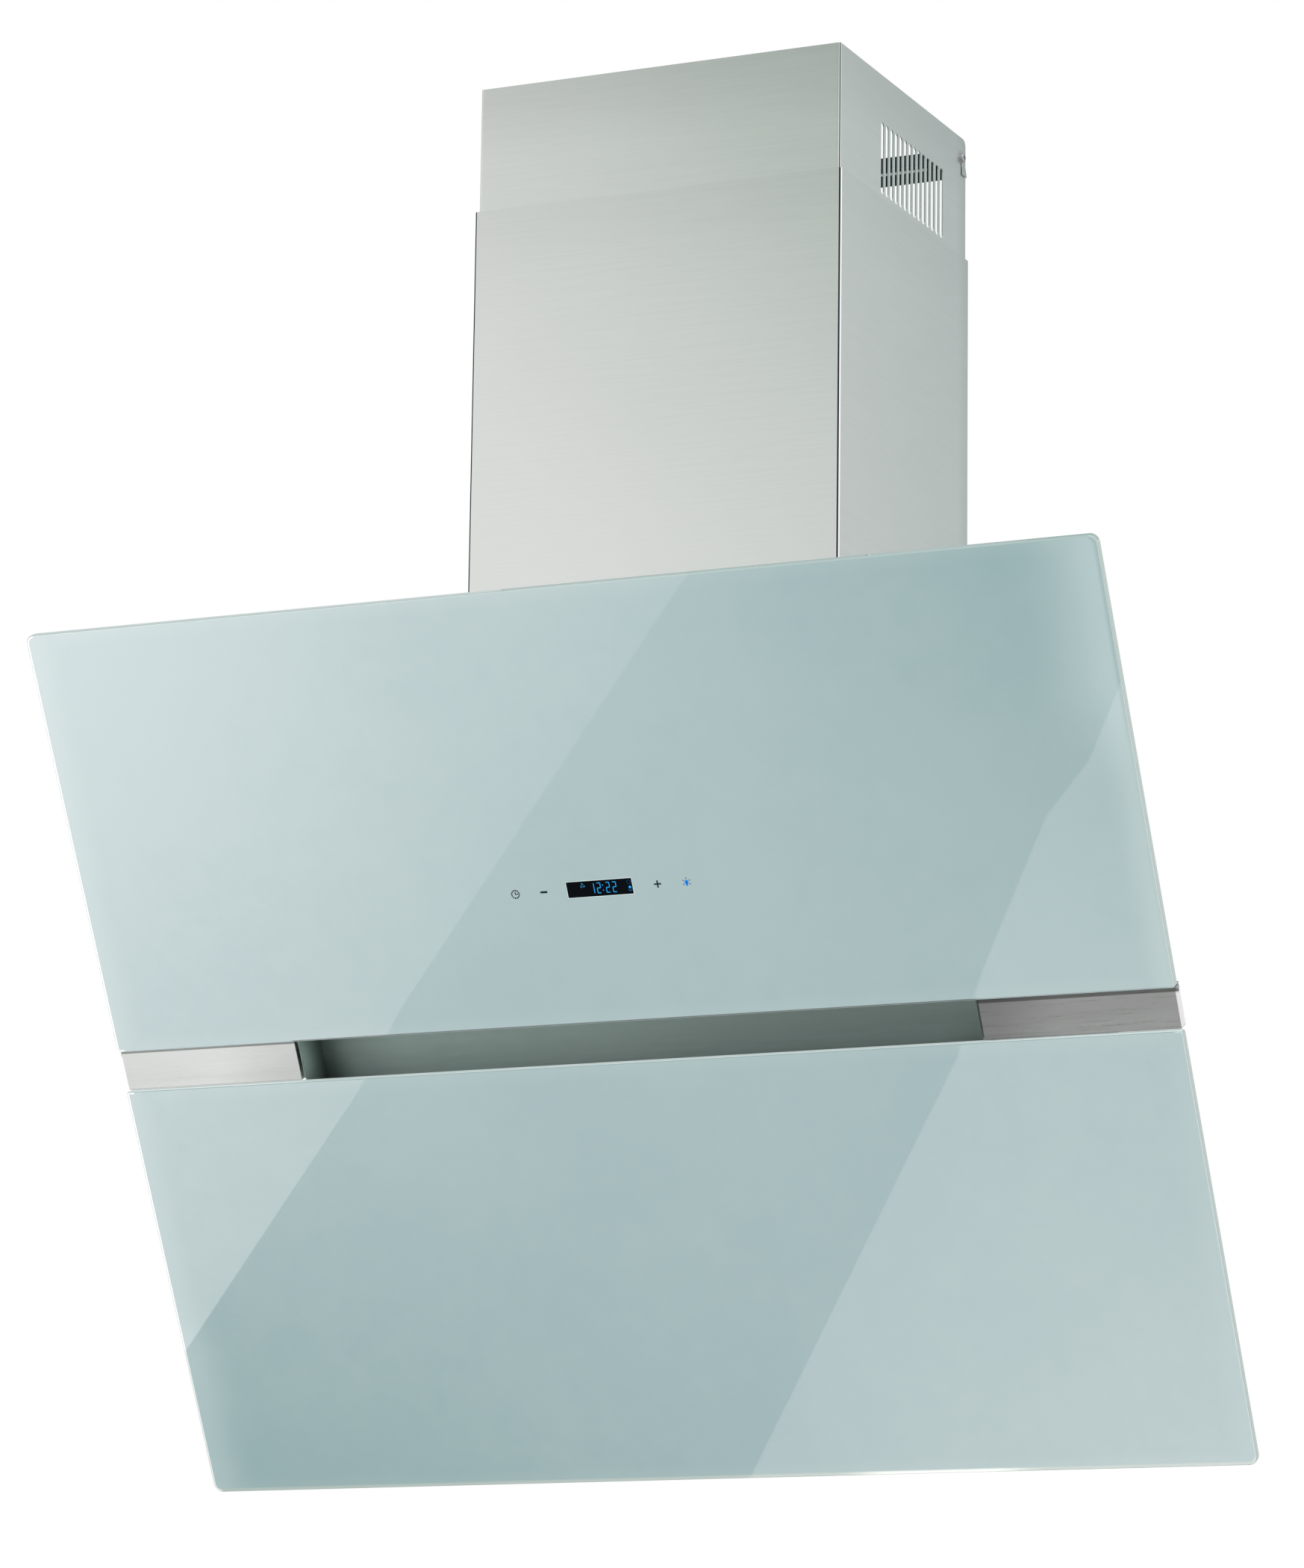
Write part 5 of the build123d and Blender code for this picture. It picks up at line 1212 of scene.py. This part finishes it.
def hang_card(name, corner, across, down, outline, finish, receivers=None):
    """Hangs a card that only reflections show. Its outline is given in shares of two of its sides."""
    bm = bmesh.new()
    points = {}
    for share in outline:
        vert = bm.verts.new(corner + across * share[0] + down * share[1])
        points[vert] = share
    face = bm.faces.new(points)
    layer = bm.loops.layers.uv.new("card")
    for loop in face.loops:
        loop[layer].uv = points[loop.vert]
    card = add_mesh(name, bm, finish)
    card.visible_camera = False
    card.visible_diffuse = False
    card.visible_transmission = False
    card.visible_shadow = False
    if receivers:
        card.light_linking.receiver_collection = receivers
    return card


def gather(name, *nodes):
    """A collection of CAD nodes that cards may be kept to."""
    collection = bpy.data.collections.new(name)
    for node in nodes:
        collection.objects.link(frame["nodes"][node])
    return collection


def glass_cards(settings, camera, receivers):
    """Three softboxes in front of the glass, which show in it as light areas with slanting edges."""
    eye = SLOPE.inverted() @ camera.matrix_world.translation
    reach = 1.0 - settings.card_distance / eye.z
    width, height = 2 * slope_box("upper_glass")[1].x, slope_box("lower_glass")[1].y

    def mirrored(x, u):
        spot = Vector((eye.x + (x - eye.x) * reach, eye.y + (u - eye.y) * reach, 0.0))
        spot.z = -settings.card_distance
        return SLOPE @ spot

    corner = mirrored(-width / 2, 0.0)
    across = mirrored(width / 2, 0.0) - corner
    down = mirrored(-width / 2, height) - corner

    def shares(*points):
        return [((x + width / 2) / width, u / height) for x, u in points]

    # Each slanting edge is given by the places on the glass where it shows.
    slant = ((0.41, -0.3), (-0.191, 0.33), (-0.242, 0.395), (-0.66, 0.83))
    left = shares((-0.9, -0.3), *slant, (-0.9, 0.83))
    middle = shares((-0.9, -0.3), (0.9, -0.3), (0.9, 1.1), (-0.9, 1.1))
    slant = ((0.7, -0.3), (0.413, 0.17), (0.372, 0.21), (0.298, 0.33), (0.267, 0.395), (-0.2, 1.06))
    right = shares(*slant, (0.9, 1.1))
    cards = (
        ("left_card", left, settings.left_glow, 0.0),
        ("middle_card", middle, settings.middle_glow, 0.02),
        ("right_card", right, settings.right_glow, 0.0),
    )
    back = SLOPE.to_3x3() @ Vector((0.0, 0.0, -1.0))
    for name, outline, glow, gap in cards:
        finish = card_finish(name, settings.card_tint, glow=tuple(glow))
        hang_card(name, corner + back * gap, across, down, outline, finish, receivers)


def steel_cards(glass, steel):
    """Grey nets beside the chimney and the trims, which show in the steel as soft shade."""
    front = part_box("lower_chimney")[0].y
    up = Vector((0.0, 0.0, 1.0))
    square = ((0.0, 0.0), (1.0, 0.0), (1.0, 1.0), (0.0, 1.0))
    clear_colour = (1.115, 1.047, 1.076)
    lift = (-0.2, -0.2, 0.35, 0.33)
    levels = (0.97, -1.78, 2.15, 1.55)
    front_net = card_finish("front_net", (0.312, 0.398, 0.344), lift, levels, clear_colour)
    corner = Vector((-1.35, front - 1.2, 2.0))
    hang_card("front_net", corner, ACROSS * 1.7, up * -2.2, square, front_net, steel)
    levels = (-0.5, 1.0, -0.1, 1.9)
    side_net = card_finish("side_net", (0.223, 0.335, 0.323), None, levels, clear_colour)
    hang_card("side_net", Vector((-0.4, 0.8, 3.0)), ACROSS * 2.4, up * -3.6, square, side_net)
    # The flag's net dims the trims. The glass also gets its glow, which gives back what the net takes.
    flag = 0.12
    passing = (0.0, 0.3, 0.2, 0.5)
    restored = [(1.0 - level) * (1.0 - flag) / flag for level in passing]
    trim_flag = card_finish("trim_flag", (flag, flag, flag), restored, passing)
    place = SLOPE @ Vector((-0.5, 0.25, -1.3))
    down = SLOPE.to_3x3() @ Vector((0.0, 1.2, 0.0))
    hang_card("trim_flag", place, ACROSS * 1.0, down, square, trim_flag, glass)


def area_lamp(name, place, target, size, power):
    """A soft square lamp that points at a target."""
    data = bpy.data.lights.new(name, "AREA")
    data.energy = power
    data.size = size
    lamp = add_object(name, data)
    lamp.location = place
    lamp.rotation_euler = (Vector(target) - Vector(place)).to_track_quat("-Z", "Y").to_euler()
    lamp.visible_glossy = False
    lamp.visible_camera = False


def make_world(level):
    """White surroundings that light the hood at a lower level than they are seen."""
    world = bpy.data.worlds.new("studio")
    world.use_nodes = True
    tree = world.node_tree
    background = tree.nodes["Background"]
    background.inputs["Color"].default_value = (1.0, 1.0, 1.0, 1.0)
    path = tree.nodes.new("ShaderNodeLightPath")
    seen = path.outputs["Is Camera Ray"]
    for kind in ("Is Glossy Ray", "Is Transmission Ray"):
        either = tree.nodes.new("ShaderNodeMath")
        either.operation = "MAXIMUM"
        tree.links.new(seen, either.inputs[0])
        tree.links.new(path.outputs[kind], either.inputs[1])
        seen = either.outputs[0]
    strength = tree.nodes.new("ShaderNodeMapRange")
    strength.inputs["To Min"].default_value = level
    strength.inputs["To Max"].default_value = 1.0
    tree.links.new(seen, strength.inputs["Value"])
    tree.links.new(strength.outputs["Result"], background.inputs["Strength"])
    bpy.context.scene.world = world


def make_floor(height):
    """A plain pale floor that hides nothing from a low eye beneath it."""
    finish = Finish("floor_pale", {"Roughness": 0.9})
    grain = finish.noise(2.0, 3.0)
    finish.set("Base Color", finish.blend(grain, (0.86, 0.86, 0.86), (0.9, 0.9, 0.9)))
    under = finish.node("ShaderNodeMixShader")
    finish.feed(under.inputs[0], finish.node("ShaderNodeNewGeometry").outputs["Backfacing"])
    finish.feed(under.inputs[1], finish.shader.outputs[0])
    finish.feed(under.inputs[2], finish.node("ShaderNodeBsdfTransparent").outputs[0])
    finish.feed(finish.tree.nodes["Material Output"].inputs["Surface"], under.outputs[0])
    bm = bmesh.new()
    level = Matrix.Translation((0.0, 0.0, height))
    bmesh.ops.create_grid(bm, x_segments=1, y_segments=1, size=20.0, matrix=level)
    add_mesh("floor", bm, finish)


def make_camera():
    """The camera, low in front of the hood and to its right."""
    data = bpy.data.cameras.new("camera")
    data.lens = 134.13
    data.sensor_width = 36.0
    data.clip_end = 100.0
    camera = add_object("camera", data)
    place = Matrix.Translation((1.86706, -4.35722, -0.70833))
    turn = Matrix.Rotation(radians(24.53), 4, "Z")
    tilt = Matrix.Rotation(radians(90 + 11.775), 4, "X")
    roll = Matrix.Rotation(radians(0.7913), 4, "Z")
    camera.matrix_world = place @ turn @ tilt @ roll
    bpy.context.scene.camera = camera
    return camera


class HOOD_OT_stage(bpy.types.Operator):
    """Set the floor, the lamps and the camera"""

    bl_idname = "hood.stage"
    bl_label = "Stage"

    def execute(self, context):
        settings = context.scene.hood_stage
        context.scene.view_settings.view_transform = "Standard"
        camera = make_camera()
        panels = gather("glass_panels", "upper_glass", "lower_glass")
        glass_cards(settings, camera, panels)
        steel_cards(panels, gather("chimney_sections", "lower_chimney", "upper_chimney"))
        make_world(settings.world_level)
        make_floor(settings.floor_height)
        middle = (0.0, -0.2, 0.1)
        area_lamp("key_lamp", (-2.2, -4.2, -1.0), middle, 2.0, settings.key_power)
        area_lamp("fill_lamp", (2.6, -3.6, 0.8), middle, 2.0, settings.fill_power)
        area_lamp("top_lamp", (0.4, -1.0, 3.0), middle, 2.0, settings.top_power)
        return {"FINISHED"}


class HOOD_PT_panel(bpy.types.Panel):
    """Lists the hood's pieces"""

    bl_label = "Cooker hood"
    bl_idname = "HOOD_PT_panel"
    bl_space_type = "VIEW_3D"
    bl_region_type = "UI"
    bl_category = "Hood"

    def draw(self, context):
        column = self.layout.column()
        for operator in OPERATORS:
            column.operator(operator.bl_idname)
        for group in SETTINGS:
            settings = getattr(context.scene, group)
            box = self.layout.box()
            for name in settings.__annotations__:
                box.prop(settings, name)


SETTINGS = {
    "hood_glass": GlassSettings,
    "hood_steel": SteelSettings,
    "hood_filters": FilterSettings,
    "hood_body": BodySettings,
    "hood_controls": ControlSettings,
    "hood_stage": StageSettings,
}
OPERATORS = (
    HOOD_OT_stage,
    HOOD_OT_glass,
    HOOD_OT_controls,
    HOOD_OT_steel,
    HOOD_OT_body,
    HOOD_OT_filters,
    HOOD_OT_blower,
    HOOD_OT_electrics,
    HOOD_OT_lamps,
    HOOD_OT_fasteners,
)


def register():
    """Registers the settings, operators and panel."""
    for name, group in SETTINGS.items():
        bpy.utils.register_class(group)
        setattr(bpy.types.Scene, name, PointerProperty(type=group))
    for operator in OPERATORS:
        bpy.utils.register_class(operator)
    bpy.utils.register_class(HOOD_PT_panel)


def unregister():
    """Removes what register added."""
    bpy.utils.unregister_class(HOOD_PT_panel)
    for operator in reversed(OPERATORS):
        bpy.utils.unregister_class(operator)
    for name, group in reversed(SETTINGS.items()):
        delattr(bpy.types.Scene, name)
        bpy.utils.unregister_class(group)


def main():
    """Builds the whole scene."""
    register()
    for operator in OPERATORS:
        group, name = operator.bl_idname.split(".")
        getattr(getattr(bpy.ops, group), name)()


if __name__ == "__main__":
    main()
